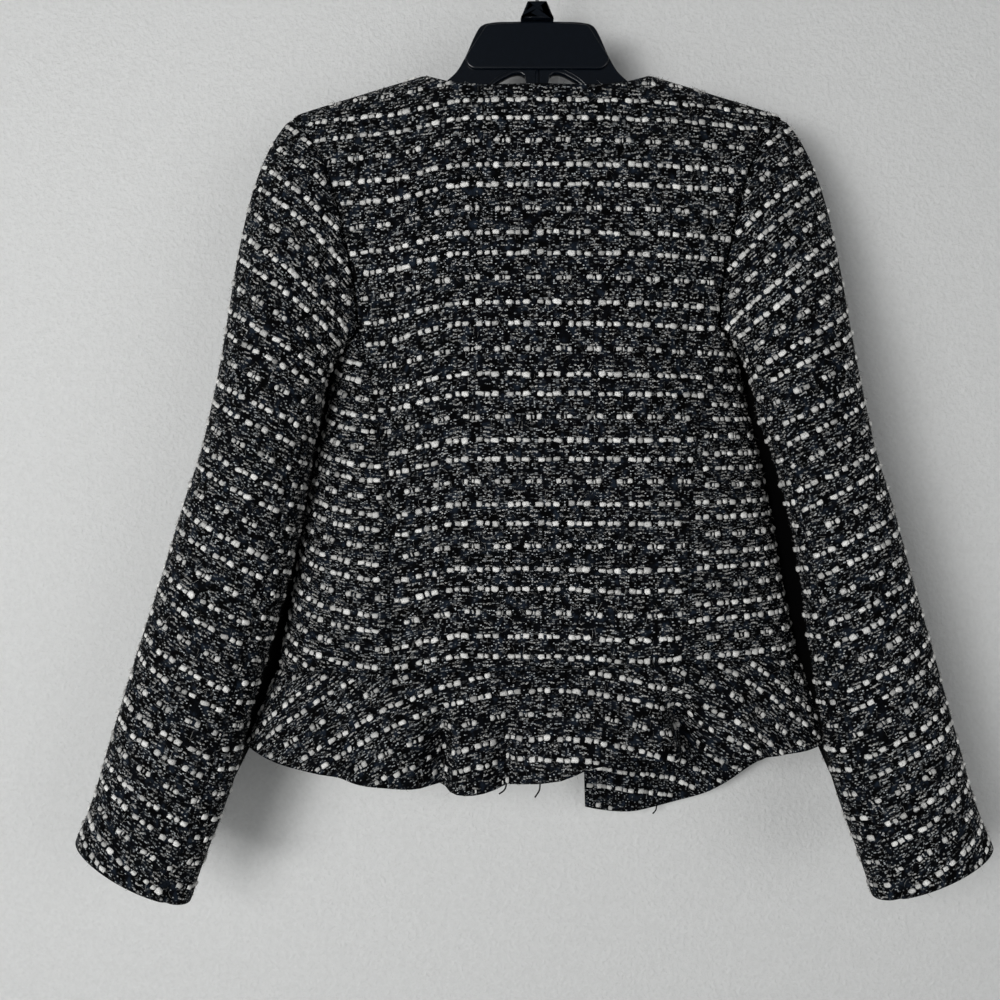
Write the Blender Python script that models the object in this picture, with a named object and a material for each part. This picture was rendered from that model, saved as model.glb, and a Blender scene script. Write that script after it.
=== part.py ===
"""Short open-front tweed jacket with a flared peplum, hanging on a moulded hanger.

Metres, +Z up. The jacket's back faces -Y and its open front faces +Y, so that left here is
-X. The origin is the inside top of the hanger's hook, where a rail or a peg holds it up.

Every cloth panel is a piece of one outer skin. The skin is worked out from sections round
the body, rings along the sleeves and a flared ring for the peplum, it is thickened inwards,
and the panels are cut from it along the seams.
"""

import math

import bpy
import numpy as np

# Cloth
CLOTH = 0.0022
SEAM_GAP = 0.0003
LEFT, RIGHT = -1, 1
BACK, FRONT = -1, 1

# Neck, shoulders and waist
NECK_X, NECK_Z = 0.091, -0.122
SHOULDER_X, SHOULDER_Z = 0.195, -0.1535
SHOULDER_SLOPE = (NECK_Z - SHOULDER_Z) / (SHOULDER_X - NECK_X)
NECK_SLOPE = 0.10
BACK_NECK_DIP = 0.0170
BACK_NECK_FLATNESS = 4.5
RIDGE_DROP = 0.085
WAIST_Z = -0.586
HANG_TILT = 0.029
SQUARENESS = 2.2

# Fronts: how far each edge stands from the centre, and where the neckline meets it
FRONT_EDGE_X = 0.038
FRONT_NECK_Z = -0.205
FRONT_NECK_BOW = 0.020

# Sections of the body from the waist up, with the armholes cut into the upper ones
SECTION = ("z", "half_width", "side_y", "back_depth", "front_depth")
SECTIONS = np.array([
    (-0.600, 0.2090, 0.004, 0.0600, 0.0450),
    (-0.530, 0.1960, 0.012, 0.0600, 0.0480),
    (-0.470, 0.1870, 0.018, 0.0610, 0.0500),
    (-0.410, 0.1750, 0.021, 0.0620, 0.0520),
    (-0.352, 0.1640, 0.020, 0.0620, 0.0520),
    (-0.290, 0.1730, 0.014, 0.0600, 0.0500),
    (-0.230, 0.1920, 0.006, 0.0560, 0.0470),
    (-0.170, 0.2060, 0.000, 0.0510, 0.0430),
    (-0.090, 0.2100, 0.000, 0.0480, 0.0400),
])

# Seam lines on the right half, as x and z
PRINCESS_SEAM = (
    (0.1110, WAIST_Z), (0.1140, -0.490), (0.1180, -0.440), (0.1255, -0.390), (0.1405, -0.325),
)
BACK_ARMHOLE = (
    (0.1405, -0.325), (0.1436, -0.288), (0.1503, -0.255), (0.1565, -0.227),
    (0.1660, -0.198), (0.1810, -0.172), (SHOULDER_X, SHOULDER_Z),
)
FRONT_ARMHOLE = (
    (0.1640, -0.352), (0.1490, -0.335), (0.1420, -0.300), (0.1450, -0.255),
    (0.1560, -0.210), (0.1780, -0.173), (SHOULDER_X, SHOULDER_Z),
)

# Folds that hang from the underarms down the back; a negative depth is a ridge
FOLD = ("x_top", "z_top", "x_bottom", "z_bottom", "width", "depth")
FOLDS = np.array([
    (-0.137, -0.300, -0.113, -0.480, 0.016, 0.0070),
    (0.118, -0.285, 0.107, -0.420, 0.013, 0.0050),
    (0.138, -0.300, 0.128, -0.370, 0.014, -0.0035),
])

# Sleeve rings from below the armpit to the cuff
RING = ("z", "x", "y", "half_width", "half_depth")
RINGS = np.array([
    (-0.390, 0.2060, -0.030, 0.0450, 0.0430),
    (-0.430, 0.2150, -0.030, 0.0450, 0.0425),
    (-0.470, 0.2245, -0.032, 0.0475, 0.0420),
    (-0.530, 0.2395, -0.034, 0.0490, 0.0410),
    (-0.590, 0.2560, -0.036, 0.0500, 0.0400),
    (-0.654, 0.2745, -0.038, 0.0495, 0.0380),
    (-0.711, 0.2935, -0.038, 0.0480, 0.0360),
    (-0.742, 0.3050, -0.038, 0.0490, 0.0350),
])

# How each sleeve hangs: how far its cuff swings out, how its end tilts, where its seams lie
CUFF_SWING = {LEFT: 0.005, RIGHT: -0.004}
CUFF_TILT = {LEFT: math.radians(9), RIGHT: math.radians(4)}
CUFF_TILT_START = 0.7
SEAM_TURN, UNDERARM_TURN = math.radians(138), math.radians(218)

# How the sleeve's cap leaves the armhole: its direction outwards, backwards and downwards
SLEEVE_LEAVES = (0.72, 0.40, -0.65)
ARMHOLE_HALF_DEPTH = 0.05
CAP_PULL = 0.75
ARMPIT_CREASE = 0.8

# Peplum: size of its hem ring, its length by turn round the body, and its waves
HEM_HALF_WIDTH = 0.231
HEM_SIDE_Y = 0.010
HEM_BACK_DEPTH = 0.070
HEM_FRONT_DEPTH = 0.055
DROP = ("turn", "drop")
DROPS = np.array([
    (-1.92, 0.100), (-1.80, 0.107), (-1.60, 0.100), (-1.30, 0.080), (-1.00, 0.058),
    (-0.80, 0.060), (-0.55, 0.068), (-0.25, 0.081), (0.00, 0.083), (0.25, 0.080),
    (0.55, 0.073), (0.80, 0.068), (1.00, 0.068), (1.30, 0.083), (1.51, 0.101),
    (1.67, 0.126), (1.78, 0.135), (1.88, 0.134), (1.92, 0.126),
])
WAVE = ("face", "x", "width", "height", "lean")
WAVES = np.array([
    (BACK, -0.190, 0.022, 0.004, 0.000),
    (BACK, -0.118, 0.030, 0.009, 0.010),
    (BACK, -0.079, 0.013, -0.013, 0.004),
    (BACK, -0.052, 0.016, 0.005, 0.000),
    (BACK, -0.024, 0.014, -0.008, 0.002),
    (BACK, 0.035, 0.034, 0.009, 0.000),
    (BACK, 0.121, 0.020, -0.015, -0.022),
    (BACK, 0.158, 0.018, 0.007, -0.010),
    (BACK, 0.190, 0.012, -0.005, 0.000),
    (FRONT, -0.170, 0.018, -0.006, 0.000),
    (FRONT, -0.125, 0.022, 0.008, 0.000),
    (FRONT, -0.080, 0.016, -0.008, 0.000),
    (FRONT, 0.165, 0.018, -0.006, 0.000),
    (FRONT, 0.120, 0.022, 0.008, 0.000),
    (FRONT, 0.078, 0.016, -0.007, 0.000),
])

# Panel grids: columns and rows of quads, rows crowded near the shoulder, and how late the
# rows below the neckline start to follow it
NECK_COLUMNS, SHOULDER_COLUMNS = 8, 4
FRONT_NECK_COLUMNS = 4
SIDE_COLUMNS = 4
BODY_ROWS, ARMHOLE_ROWS = 10, 11
UNDER_FRONT_ROWS = 3
CAP_ROWS, TUBE_ROWS = 6, 14
PEPLUM_ROWS = 5
PEPLUM_BACK_COLUMNS, PEPLUM_FRONT_COLUMNS = 48, 20
TOP_CROWDING = 1.2
TOP_HOLD = 3
CURVE_SAMPLES = 400
AXIS_STEP = 0.01
SHARP_ANGLE = math.radians(40)
# A direction that settles which way the narrow quads of a panel's rim are cut in two
RIM_ORDER = (0.1, 0.01, 1.0)

# Hanger
HANGER_THICKNESS = 0.007
HANGER_END_X = 0.184
HANGER_ARM_HEIGHT = 0.018
HANGER_BEVEL = 0.0026
HANGER_SEAT = CLOTH + 0.0012
HANGER_NECK_DIP, HANGER_DIP_END_X = 0.0042, 0.122
HANGER_TOP = (
    (0.0, -0.0766), (0.0400, -0.0766), (0.0445, -0.0800), (0.0510, -0.0970),
    (0.0595, -0.1115), (0.0690, -0.1210), (0.0800, -0.1280),
)
HANGER_CENTRE_BOTTOM_Z = -0.150
HANGER_STATIONS = 60
PLATE_HALF_TOP, PLATE_HALF_BOTTOM = 0.0425, 0.0565
PLATE_TOP_Z, PLATE_BOTTOM_Z = -0.0780, -0.1160
PLATE_RISE, PLATE_CORNER, PLATE_CORNER_STEPS = 0.0025, 0.008, 5
ARCH_X, ARCH_HALF_WIDTH, ARCH_STEPS = 0.0225, 0.0140, 8
ARCH_TOP_Z, ARCH_BOTTOM_Z = -0.1190, -0.1370
CAP_GAP = 0.0003
CAP_HEIGHT, CAP_HALF_BOTTOM, CAP_HALF_TOP, CAP_DEPTH = 0.0190, 0.0132, 0.0070, 0.0120
STEM_HOLE_SIDES = 12

# Hook
WIRE_RADIUS = 0.0017
WIRE_ROUNDNESS = 2
HOOK_RADIUS, HOOK_POINTS = 0.0200, 26
HOOK_TIP_ANGLE, HOOK_TURN_ANGLE = math.radians(200), math.radians(-40)
HOOK_NECK_Z, HOOK_NECK_POINTS = -0.052, 6
HOOK_NECK_BEND_X, HOOK_NECK_BEND_RISE = 0.004, 0.010

# Plain colours
TWEED_COLOR, TWEED_ROUGHNESS = (0.035, 0.037, 0.042), 0.9
PLASTIC_COLOR, PLASTIC_ROUGHNESS = (0.012, 0.012, 0.013), 0.35
STEEL_COLOR, STEEL_ROUGHNESS = (0.62, 0.62, 0.62), 0.25


def smooth(at, knots, values):
    """Values at points between knots, along a smooth curve through them."""
    at = np.asarray(at, float)
    slopes = np.gradient(values, knots)
    index = np.clip(np.searchsorted(knots, at) - 1, 0, len(knots) - 2)
    width = knots[index + 1] - knots[index]
    t = np.clip((at - knots[index]) / width, 0, 1)
    start = (1 + 2 * t) * (1 - t) ** 2 * values[index] + t * (1 - t) ** 2 * width * slopes[index]
    end = t * t * (3 - 2 * t) * values[index + 1] + t * t * (t - 1) * width * slopes[index + 1]
    return start + end


def column(table, names, name):
    """One named column of a table."""
    return table[:, names.index(name)]


def ease(t):
    """0 to 1 with soft ends."""
    t = np.clip(t, 0, 1)
    return t * t * (3 - 2 * t)


def spaced(points, fractions):
    """Points at fractions of the length of a smooth curve through points."""
    points = np.asarray(points, float)
    steps = np.arange(len(points), dtype=float)
    fine = np.linspace(0, len(points) - 1, CURVE_SAMPLES)
    curve = np.stack([smooth(fine, steps, values) for values in points.T], axis=-1)
    length = np.concatenate([[0], np.cumsum(np.linalg.norm(np.diff(curve, axis=0), axis=1))])
    wanted = np.asarray(fractions) * length[-1]
    return np.stack([np.interp(wanted, length, values) for values in curve.T], axis=-1)


def section(name, z):
    """A size of the body's section at a height."""
    return smooth(z, column(SECTIONS, SECTION, "z"), column(SECTIONS, SECTION, name))


def shoulder_line(x):
    """Height of the shoulder seam, carried on over the neck."""
    out = np.abs(x) - NECK_X
    return NECK_Z - np.where(out > 0, SHOULDER_SLOPE, NECK_SLOPE) * out


def ridge(x, z):
    """How far the cloth has spread from the shoulder seam: 0 on it, 1 well below."""
    fall = np.clip((shoulder_line(x) - z) / RIDGE_DROP, 0, 1)
    return np.sqrt(1 - (1 - fall) ** 2)


def fold_depth(x, z):
    """How far the folds push the back towards the front."""
    depth = np.zeros(np.broadcast(x, z).shape)
    for row in FOLDS:
        fold = dict(zip(FOLD, row))
        along = (fold["z_top"] - z) / (fold["z_top"] - fold["z_bottom"])
        line = fold["x_top"] + (fold["x_bottom"] - fold["x_top"]) * along
        fade = np.sin(math.pi * np.clip(along, 0, 1)) ** 2
        depth += fold["depth"] * fade * np.exp(-(((x - line) / fold["width"]) ** 2))
    return depth


def hang(x, z):
    """Height after the jacket sags to its left."""
    return z + HANG_TILT * x * ease((SHOULDER_Z - z) / (SHOULDER_Z - WAIST_Z))


def body_point(turn, z):
    """Outer skin at a turn round the body (0 centre back, 1 side, 2 centre front) and height."""
    turn, z = np.broadcast_arrays(np.asarray(turn, float), np.asarray(z, float))
    angle = turn * math.pi / 2
    across = np.sign(angle) * np.abs(np.sin(angle)) ** (2 / SQUARENESS)
    out = np.abs(np.cos(angle)) ** (2 / SQUARENESS)
    x = section("half_width", z) * across
    side = section("side_y", z)
    out = out * ridge(x, z)
    back = side - (section("back_depth", z) + side) * out + fold_depth(x, z)
    front = side + (section("front_depth", z) - side) * out
    y = np.where(np.cos(angle) >= 0, back, front)
    return np.stack([x, y, hang(x, z)], axis=-1)


def turn_at(x, z, face):
    """Turn round the body of a point at x and z on the back or the front."""
    across = np.clip(np.abs(x) / section("half_width", z), 0, 1) ** (SQUARENESS / 2)
    turn = np.arcsin(across) * 2 / math.pi
    return np.sign(x) * np.where(face == BACK, turn, 2 - turn)


def in_turns(points, face):
    """A line of (x, z) as (turn, z)."""
    points = np.asarray(points, float)
    return np.stack([turn_at(points[:, 0], points[:, 1], face), points[:, 1]], axis=-1)


def mirrored(line):
    """The same line of (turn, z) on the left half."""
    return line * (-1, 1)


def patch(bottom, top, start, end):
    """Grid of (turn, z) inside four border lines, with rows from bottom to top."""
    across = np.linspace(0, 1, len(bottom))[None, :, None]
    up = np.linspace(0, 1, len(start))[:, None, None] ** TOP_HOLD
    low = bottom - ((1 - across) * bottom[0] + across * bottom[-1])
    high = top - ((1 - across) * top[0] + across * top[-1])
    grid = (1 - across) * start[:, None] + across * end[:, None] + (1 - up) * low + up * high
    grid[:, 0], grid[:, -1] = start, end
    grid[0], grid[-1] = bottom, top
    return grid


def row_steps():
    """Fractions of the way up of the rows below the underarm and of those above it."""
    even = np.linspace(0, 1, BODY_ROWS + 1)
    crowded = 1 - (1 - ease(np.linspace(0, 1, ARMHOLE_ROWS + 1))) ** TOP_CROWDING
    return even, crowded


def seam_lines():
    """The right half's seams as (turn, z) lines, with one point for each row or column."""
    even, crowded = row_steps()
    princess = in_turns(spaced(PRINCESS_SEAM, even), BACK)
    back_armhole = in_turns(spaced(BACK_ARMHOLE, crowded), BACK)
    front_armhole = in_turns(spaced(FRONT_ARMHOLE, crowded), FRONT)
    front_armhole[0, 0] = 1
    underarm_z = FRONT_ARMHOLE[0][1]
    side = np.stack([np.ones(BODY_ROWS + 1), WAIST_Z + (underarm_z - WAIST_Z) * even], axis=-1)
    along = np.linspace(0, 1, SIDE_COLUMNS + 1)
    corner_turn, corner_z = princess[-1]
    turn = corner_turn + (1 - corner_turn) * along
    z = corner_z + (underarm_z - corner_z) * np.sin(along * math.pi / 2)
    underarm = np.stack([turn, z], axis=-1)
    return {
        "princess": princess, "back_armhole": back_armhole, "front_armhole": front_armhole,
        "side": side, "underarm": underarm,
    }


def waist_line(start, end, columns):
    """The waist seam between two turns."""
    return np.stack([np.linspace(start, end, columns + 1), np.full(columns + 1, WAIST_Z)], axis=-1)


def shoulder_top(face):
    """The right shoulder seam from its outer end to the neck, as (turn, z)."""
    x = np.linspace(SHOULDER_X, NECK_X, SHOULDER_COLUMNS + 1)
    return in_turns(np.stack([x, shoulder_line(x)], axis=-1), face)


def back_neck():
    """The back neckline from its left to its right end, as (turn, z)."""
    x = np.linspace(-NECK_X, NECK_X, NECK_COLUMNS + 1)
    z = NECK_Z - BACK_NECK_DIP * (1 - np.abs(x / NECK_X) ** BACK_NECK_FLATNESS)
    return in_turns(np.stack([x, z], axis=-1), BACK)


def front_neck():
    """The right front neckline from the shoulder down to the front edge, as (turn, z)."""
    t = np.linspace(0, 1, FRONT_NECK_COLUMNS + 1)
    x = NECK_X + (FRONT_EDGE_X - NECK_X) * t + FRONT_NECK_BOW * np.sin(math.pi * t) * (1 - t)
    z = NECK_Z + (FRONT_NECK_Z - NECK_Z) * t
    return in_turns(np.stack([x, z], axis=-1), FRONT)


def body_grids(seams):
    """Outer points of the body's five panels, by name."""
    edge = np.concatenate([seams["princess"], seams["back_armhole"][1:]])
    shoulder = shoulder_top(BACK)
    top = np.concatenate([mirrored(shoulder), back_neck()[1:-1], shoulder[::-1]])
    waist = waist_line(-edge[0, 0], edge[0, 0], len(top) - 1)
    grids = {"back_center": patch(waist, top, mirrored(edge), edge)}

    waist = waist_line(edge[0, 0], 1, SIDE_COLUMNS)
    side_back = patch(waist, seams["underarm"], seams["princess"], seams["side"])
    grids["side_back_right"] = side_back
    grids["side_back_left"] = mirrored(side_back[:, ::-1])

    top = np.concatenate([shoulder_top(FRONT), front_neck()[1:]])
    outer = np.concatenate([seams["side"], seams["front_armhole"][1:]])
    even, crowded = row_steps()
    underarm_z = FRONT_ARMHOLE[0][1]
    below = WAIST_Z + (underarm_z - WAIST_Z) * even
    above = underarm_z + (FRONT_NECK_Z - underarm_z) * crowded[1:]
    edge_z = np.concatenate([below, above])
    inner = in_turns(np.stack([np.full(len(outer), FRONT_EDGE_X), edge_z], axis=-1), FRONT)
    front = patch(waist_line(1, inner[0, 0], len(top) - 1), top, outer, inner)
    grids["front_right"] = front
    grids["front_left"] = mirrored(front[:, ::-1])
    return {name: body_point(grid[..., 0], grid[..., 1]) for name, grid in grids.items()}


def ring_z(down):
    """Height of the sleeve's axis at a fraction of its way from the first ring to the cuff."""
    z = column(RINGS, RING, "z")
    return z[0] + (z[-1] - z[0]) * np.asarray(down)


def ring(name, down):
    """A size of the sleeve at a fraction of its way from the first ring to the cuff."""
    return smooth(-ring_z(down), -column(RINGS, RING, "z"), column(RINGS, RING, name))


def sleeve_centre(side, down):
    """Centre of the sleeve at a fraction of its way down."""
    x = ring("x", down) + CUFF_SWING[side] * ease(down)
    return np.stack([side * x, ring("y", down), ring_z(down)], axis=-1)


def sleeve_axis(side, down):
    """Direction in which the sleeve hangs at a fraction of its way down."""
    below = sleeve_centre(side, np.minimum(down + AXIS_STEP, 1))
    way = below - sleeve_centre(side, np.maximum(down - AXIS_STEP, 0))
    return way / np.linalg.norm(way, axis=-1, keepdims=True)


def sleeve_ring(side, turns, down):
    """Points round the sleeve: turn 0 is its outer side, a quarter turn its back."""
    axis = sleeve_axis(side, down)
    tilt = math.atan2(side * axis[0], -axis[2])
    tilt += CUFF_TILT[side] * float(ease((down - CUFF_TILT_START) / (1 - CUFF_TILT_START)))
    outward = np.array([side * math.cos(tilt), 0, math.sin(tilt)])
    across = ring("half_width", down) * np.cos(turns)[:, None] * outward
    deep = ring("half_depth", down) * np.sin(turns)[:, None] * np.array([0, -1, 0])
    return sleeve_centre(side, down) + across + deep


def armhole_loop(side, seams):
    """Points and turns round an armhole, from the shoulder by the back and underarm to the front."""
    back = seams["back_armhole"][::-1]
    under = seams["underarm"]
    front = seams["front_armhole"]
    line = np.concatenate([back, under[1:], front[1:]]) * (side, 1)
    points = body_point(line[:, 0], line[:, 1])
    length = np.concatenate([[0], np.cumsum(np.linalg.norm(np.diff(points, axis=0), axis=1))])
    marks = length[[0, len(back) - 1, len(back) + len(under) - 2, -1]]
    turns = np.interp(length, marks, [0, SEAM_TURN, UNDERARM_TURN, 2 * math.pi])
    return points, turns


def sleeve_grids(side, seams):
    """Outer points of a sleeve's upper and under panels, from the armhole down to the cuff."""
    loop, turns = armhole_loop(side, seams)
    first = sleeve_ring(side, turns, 0.0)
    reach = np.linalg.norm(first - loop, axis=1, keepdims=True) * CAP_PULL
    out, spread, fall = SLEEVE_LEAVES
    level = np.ones(len(loop))
    leaves = np.stack(
        [side * out * level, spread * loop[:, 1] / ARMHOLE_HALF_DEPTH, fall * level], axis=-1
    )
    leaves *= reach / np.linalg.norm(leaves, axis=1, keepdims=True)
    arrives = reach * sleeve_axis(side, 0.0)
    rows = []
    for t in np.linspace(0, 1, CAP_ROWS + 1):
        start = (1 + 2 * t) * (1 - t) ** 2 * loop + t * (1 - t) ** 2 * leaves
        end = t * t * (3 - 2 * t) * first + t * t * (t - 1) * arrives
        rows.append(start + end)
    rows += [sleeve_ring(side, turns, down) for down in np.linspace(0, 1, TUBE_ROWS + 1)[1:]]
    grid = np.array(rows)
    back_seam = ARMHOLE_ROWS
    front_seam = ARMHOLE_ROWS + SIDE_COLUMNS + UNDER_FRONT_ROWS
    under = grid[:, back_seam:front_seam + 1]
    upper = np.concatenate([grid[:, front_seam:], grid[:, 1:back_seam + 1]], axis=1)
    if side == LEFT:
        under, upper = under[:, ::-1], upper[:, ::-1]
    name = "right" if side == RIGHT else "left"
    return {f"sleeve_upper_{name}": upper, f"sleeve_under_{name}": under}


def peplum_wave(x, face, down):
    """How far the peplum's waves stand out at x on a face, growing towards the hem."""
    out = np.zeros(x.shape)
    for row in WAVES:
        wave = dict(zip(WAVE, row))
        middle = wave["x"] + wave["lean"] * (1 - down)
        bump = np.exp(-(((x - middle) / wave["width"]) ** 2))
        out += np.where(face == wave["face"], wave["height"], 0) * bump
    return out * ease(down)


def peplum_point(turn, down):
    """Outer skin of the peplum: down is 0 at the waist seam and 1 at the hem."""
    angle = turn * math.pi / 2
    across = np.sign(angle) * np.abs(np.sin(angle)) ** (2 / SQUARENESS)
    out = np.abs(np.cos(angle)) ** (2 / SQUARENESS)
    face = np.where(np.cos(angle) >= 0, BACK, FRONT)
    waist = {name: float(section(name, WAIST_Z)) for name in SECTION[1:]}
    half_width = waist["half_width"] + (HEM_HALF_WIDTH - waist["half_width"]) * down
    side = waist["side_y"] + (HEM_SIDE_Y - waist["side_y"]) * down
    back = waist["back_depth"] + (HEM_BACK_DEPTH - waist["back_depth"]) * down + side
    front = waist["front_depth"] + (HEM_FRONT_DEPTH - waist["front_depth"]) * down - side
    depth = np.where(face == BACK, back, front)
    x = half_width * across
    y = side + face * depth * out
    facing = np.stack([across / half_width, face * out / depth], axis=-1)
    facing /= np.linalg.norm(facing, axis=-1, keepdims=True)
    wave = peplum_wave(x, face, down)
    x, y = x + facing[..., 0] * wave, y + facing[..., 1] * wave
    z = WAIST_Z - smooth(turn, column(DROPS, DROP, "turn"), column(DROPS, DROP, "drop")) * down
    return np.stack([x, y, z + HANG_TILT * x], axis=-1)


def peplum_grids():
    """Outer points of the peplum's three panels, with rows from hem to waist."""
    edge = float(turn_at(FRONT_EDGE_X, WAIST_Z, FRONT))
    spans = {
        "peplum_back": (-1, 1, PEPLUM_BACK_COLUMNS),
        "peplum_front_right": (1, edge, PEPLUM_FRONT_COLUMNS),
        "peplum_front_left": (-edge, -1, PEPLUM_FRONT_COLUMNS),
    }
    down = np.linspace(1, 0, PEPLUM_ROWS + 1)[:, None]
    return {
        name: peplum_point(*np.broadcast_arrays(np.linspace(start, end, columns + 1)[None], down))
        for name, (start, end, columns) in spans.items()
    }


def skin_normals(grids):
    """Outward normals of each grid's points, shared where panels meet."""
    total = {}
    keys = {}
    for name, grid in grids.items():
        normal = np.zeros_like(grid)
        area = np.cross(grid[1:, 1:] - grid[:-1, :-1], grid[1:, :-1] - grid[:-1, 1:])
        for rows, columns in ((0, 0), (0, 1), (1, 0), (1, 1)):
            height, width = area.shape[:2]
            normal[rows:rows + height, columns:columns + width] += area
        keys[name] = [tuple(point) for point in np.round(grid.reshape(-1, 3) * 1e6).astype(int)]
        for key, vector in zip(keys[name], normal.reshape(-1, 3)):
            total[key] = total.get(key, 0) + vector
    found = {}
    for name, grid in grids.items():
        normal = np.array([total[key] for key in keys[name]])
        found[name] = (normal / np.linalg.norm(normal, axis=1, keepdims=True)).reshape(grid.shape)
    return found


def upper_normals(body, sleeves):
    """Normals of the body and sleeves, shared at the armholes except in the armpit's crease."""
    shared = skin_normals({**body, **sleeves})
    own = {**skin_normals(body), **skin_normals(sleeves)}
    for name, normal in own.items():
        agree = np.sum(normal * shared[name], axis=-1, keepdims=True) > ARMPIT_CREASE
        own[name] = np.where(agree, shared[name], normal)
    return own


def laid_in_waist(normals, row):
    """Turns a row of normals into the waist seam's plane, so that panels meet there flat."""
    plane = np.array([-HANG_TILT, 0, 1]) / math.hypot(HANG_TILT, 1)
    level = normals[row] - (normals[row] @ plane)[:, None] * plane
    normals[row] = level / np.linalg.norm(level, axis=1, keepdims=True)


def drawn_in(grid):
    """Small moves of a grid's border points that leave half a seam gap round the panel."""
    move = np.zeros_like(grid)
    for border, inside in ((0, 1), (-1, -2)):
        down = grid[inside] - grid[border]
        move[border] += down / np.linalg.norm(down, axis=-1, keepdims=True)
        in_row = grid[:, inside] - grid[:, border]
        move[:, border] += in_row / np.linalg.norm(in_row, axis=-1, keepdims=True)
    return move * SEAM_GAP / 2


def panel_mesh(grid, normals):
    """Points and faces of a panel: its outer grid, its inner grid and a rim.

    The rim's triangles are cut the same way on both panels of a seam, so that they fit.
    """
    move = drawn_in(grid)
    outer = grid + move
    inner = outer - CLOTH * normals
    rows, columns = grid.shape[:2]
    number = np.arange(rows * columns).reshape(rows, columns)
    corners = (number[:-1, :-1], number[:-1, 1:], number[1:, 1:], number[1:, :-1])
    quads = np.stack(corners, axis=-1).reshape(-1, 4)
    loop = np.concatenate([number[0, :-1], number[:-1, -1], number[-1, :0:-1], number[:0:-1, 0]])
    after = np.roll(loop, -1)
    shift = rows * columns
    rank = grid.reshape(-1, 3) @ RIM_ORDER
    rising = rank[loop] < rank[after]
    outer_rim = np.stack([after, loop, np.where(rising, loop, after) + shift], axis=-1)
    inner_rim = np.stack([np.where(rising, after, loop), loop + shift, after + shift], axis=-1)
    walls = (quads, quads[:, ::-1] + shift, outer_rim, inner_rim)
    faces = [tuple(face) for wall in walls for face in wall]
    points = np.concatenate([outer.reshape(-1, 3), inner.reshape(-1, 3)])
    return points, faces


def material(name, color, roughness, metallic=0.0):
    """A plain material in a piece's colour."""
    made = bpy.data.materials.new(name)
    made.use_nodes = True
    shader = made.node_tree.nodes["Principled BSDF"]
    shader.inputs["Base Color"].default_value = (*color, 1)
    shader.inputs["Roughness"].default_value = roughness
    shader.inputs["Metallic"].default_value = metallic
    return made


def add_mesh(name, points, faces, finish, parent):
    """A smooth-shaded mesh object under the part's origin."""
    mesh = bpy.data.meshes.new(name)
    mesh.from_pydata([tuple(point) for point in points], [], [tuple(face) for face in faces])
    mesh.shade_smooth()
    mesh.set_sharp_from_angle(angle=SHARP_ANGLE)
    mesh.materials.append(finish)
    made = bpy.data.objects.new(name, mesh)
    made.parent = parent
    bpy.context.collection.objects.link(made)
    return made


def prism(outline, half_depth):
    """Points and faces of an (x, z) outline, counter-clockwise from the back, given a depth in y."""
    outline = np.asarray(outline, float)
    count = len(outline)
    x, z = outline.T
    ends = [np.column_stack([x, np.full(count, y), z]) for y in (-half_depth, half_depth)]
    number = np.arange(count)
    after = np.roll(number, -1)
    sides = np.stack([after, number, number + count, after + count], axis=-1)
    return np.concatenate(ends), [tuple(number), tuple(number[::-1] + count), *map(tuple, sides)]


def hanger_mesh():
    """Points and faces of the hanger's arms and centre: bevelled bars set side by side along x."""
    half = np.linspace(0, HANGER_END_X, HANGER_STATIONS // 2 + 1)
    x = np.concatenate([-half[:0:-1], half])
    reach = np.abs(x)
    knots = np.array(HANGER_TOP)
    dip = HANGER_NECK_DIP * (1 - ease((reach - NECK_X) / (HANGER_DIP_END_X - NECK_X)))
    arm = shoulder_line(np.maximum(reach, NECK_X)) - HANGER_SEAT * math.hypot(1, SHOULDER_SLOPE) - dip
    centre = np.interp(reach, knots[:, 0], knots[:, 1])
    into_arm = ease((reach - knots[-1, 0]) / (NECK_X - knots[-1, 0]))
    top = np.where(reach <= knots[-1, 0], centre, knots[-1, 1] + (arm - knots[-1, 1]) * into_arm)
    bottom = np.minimum(top - HANGER_ARM_HEIGHT, HANGER_CENTRE_BOTTOM_Z)
    wide, bevel = HANGER_THICKNESS / 2, HANGER_BEVEL
    corners = (
        (wide, top - bevel), (wide - bevel, top), (bevel - wide, top), (-wide, top - bevel),
        (-wide, bottom + bevel), (bevel - wide, bottom), (wide - bevel, bottom), (wide, bottom + bevel),
    )
    points = np.stack([np.stack([x, np.full(len(x), y), z], axis=-1) for y, z in corners], axis=1)
    sides = len(corners)
    number = np.arange(len(x) * sides).reshape(len(x), sides)
    after = np.roll(number, -1, axis=1)
    walls = np.stack([number[:-1], after[:-1], after[1:], number[1:]], axis=-1).reshape(-1, 4)
    faces = [tuple(number[0, ::-1]), tuple(number[-1]), *map(tuple, walls)]
    return points.reshape(-1, 3), faces


def plate_outline():
    """The raised plate: wider at its foot, with round corners, as (x, z) points."""
    points = []
    for index, (x, z) in enumerate(((1, -1), (1, 1), (-1, 1), (-1, -1))):
        half, height = (PLATE_HALF_TOP, PLATE_TOP_Z) if z > 0 else (PLATE_HALF_BOTTOM, PLATE_BOTTOM_Z)
        centre = (x * (half - PLATE_CORNER), height - z * PLATE_CORNER)
        for step in range(PLATE_CORNER_STEPS + 1):
            angle = math.pi / 2 * (index - 1 + step / PLATE_CORNER_STEPS)
            across, up = PLATE_CORNER * math.cos(angle), PLATE_CORNER * math.sin(angle)
            points.append((centre[0] + across, centre[1] + up))
    return np.array(points)


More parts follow.
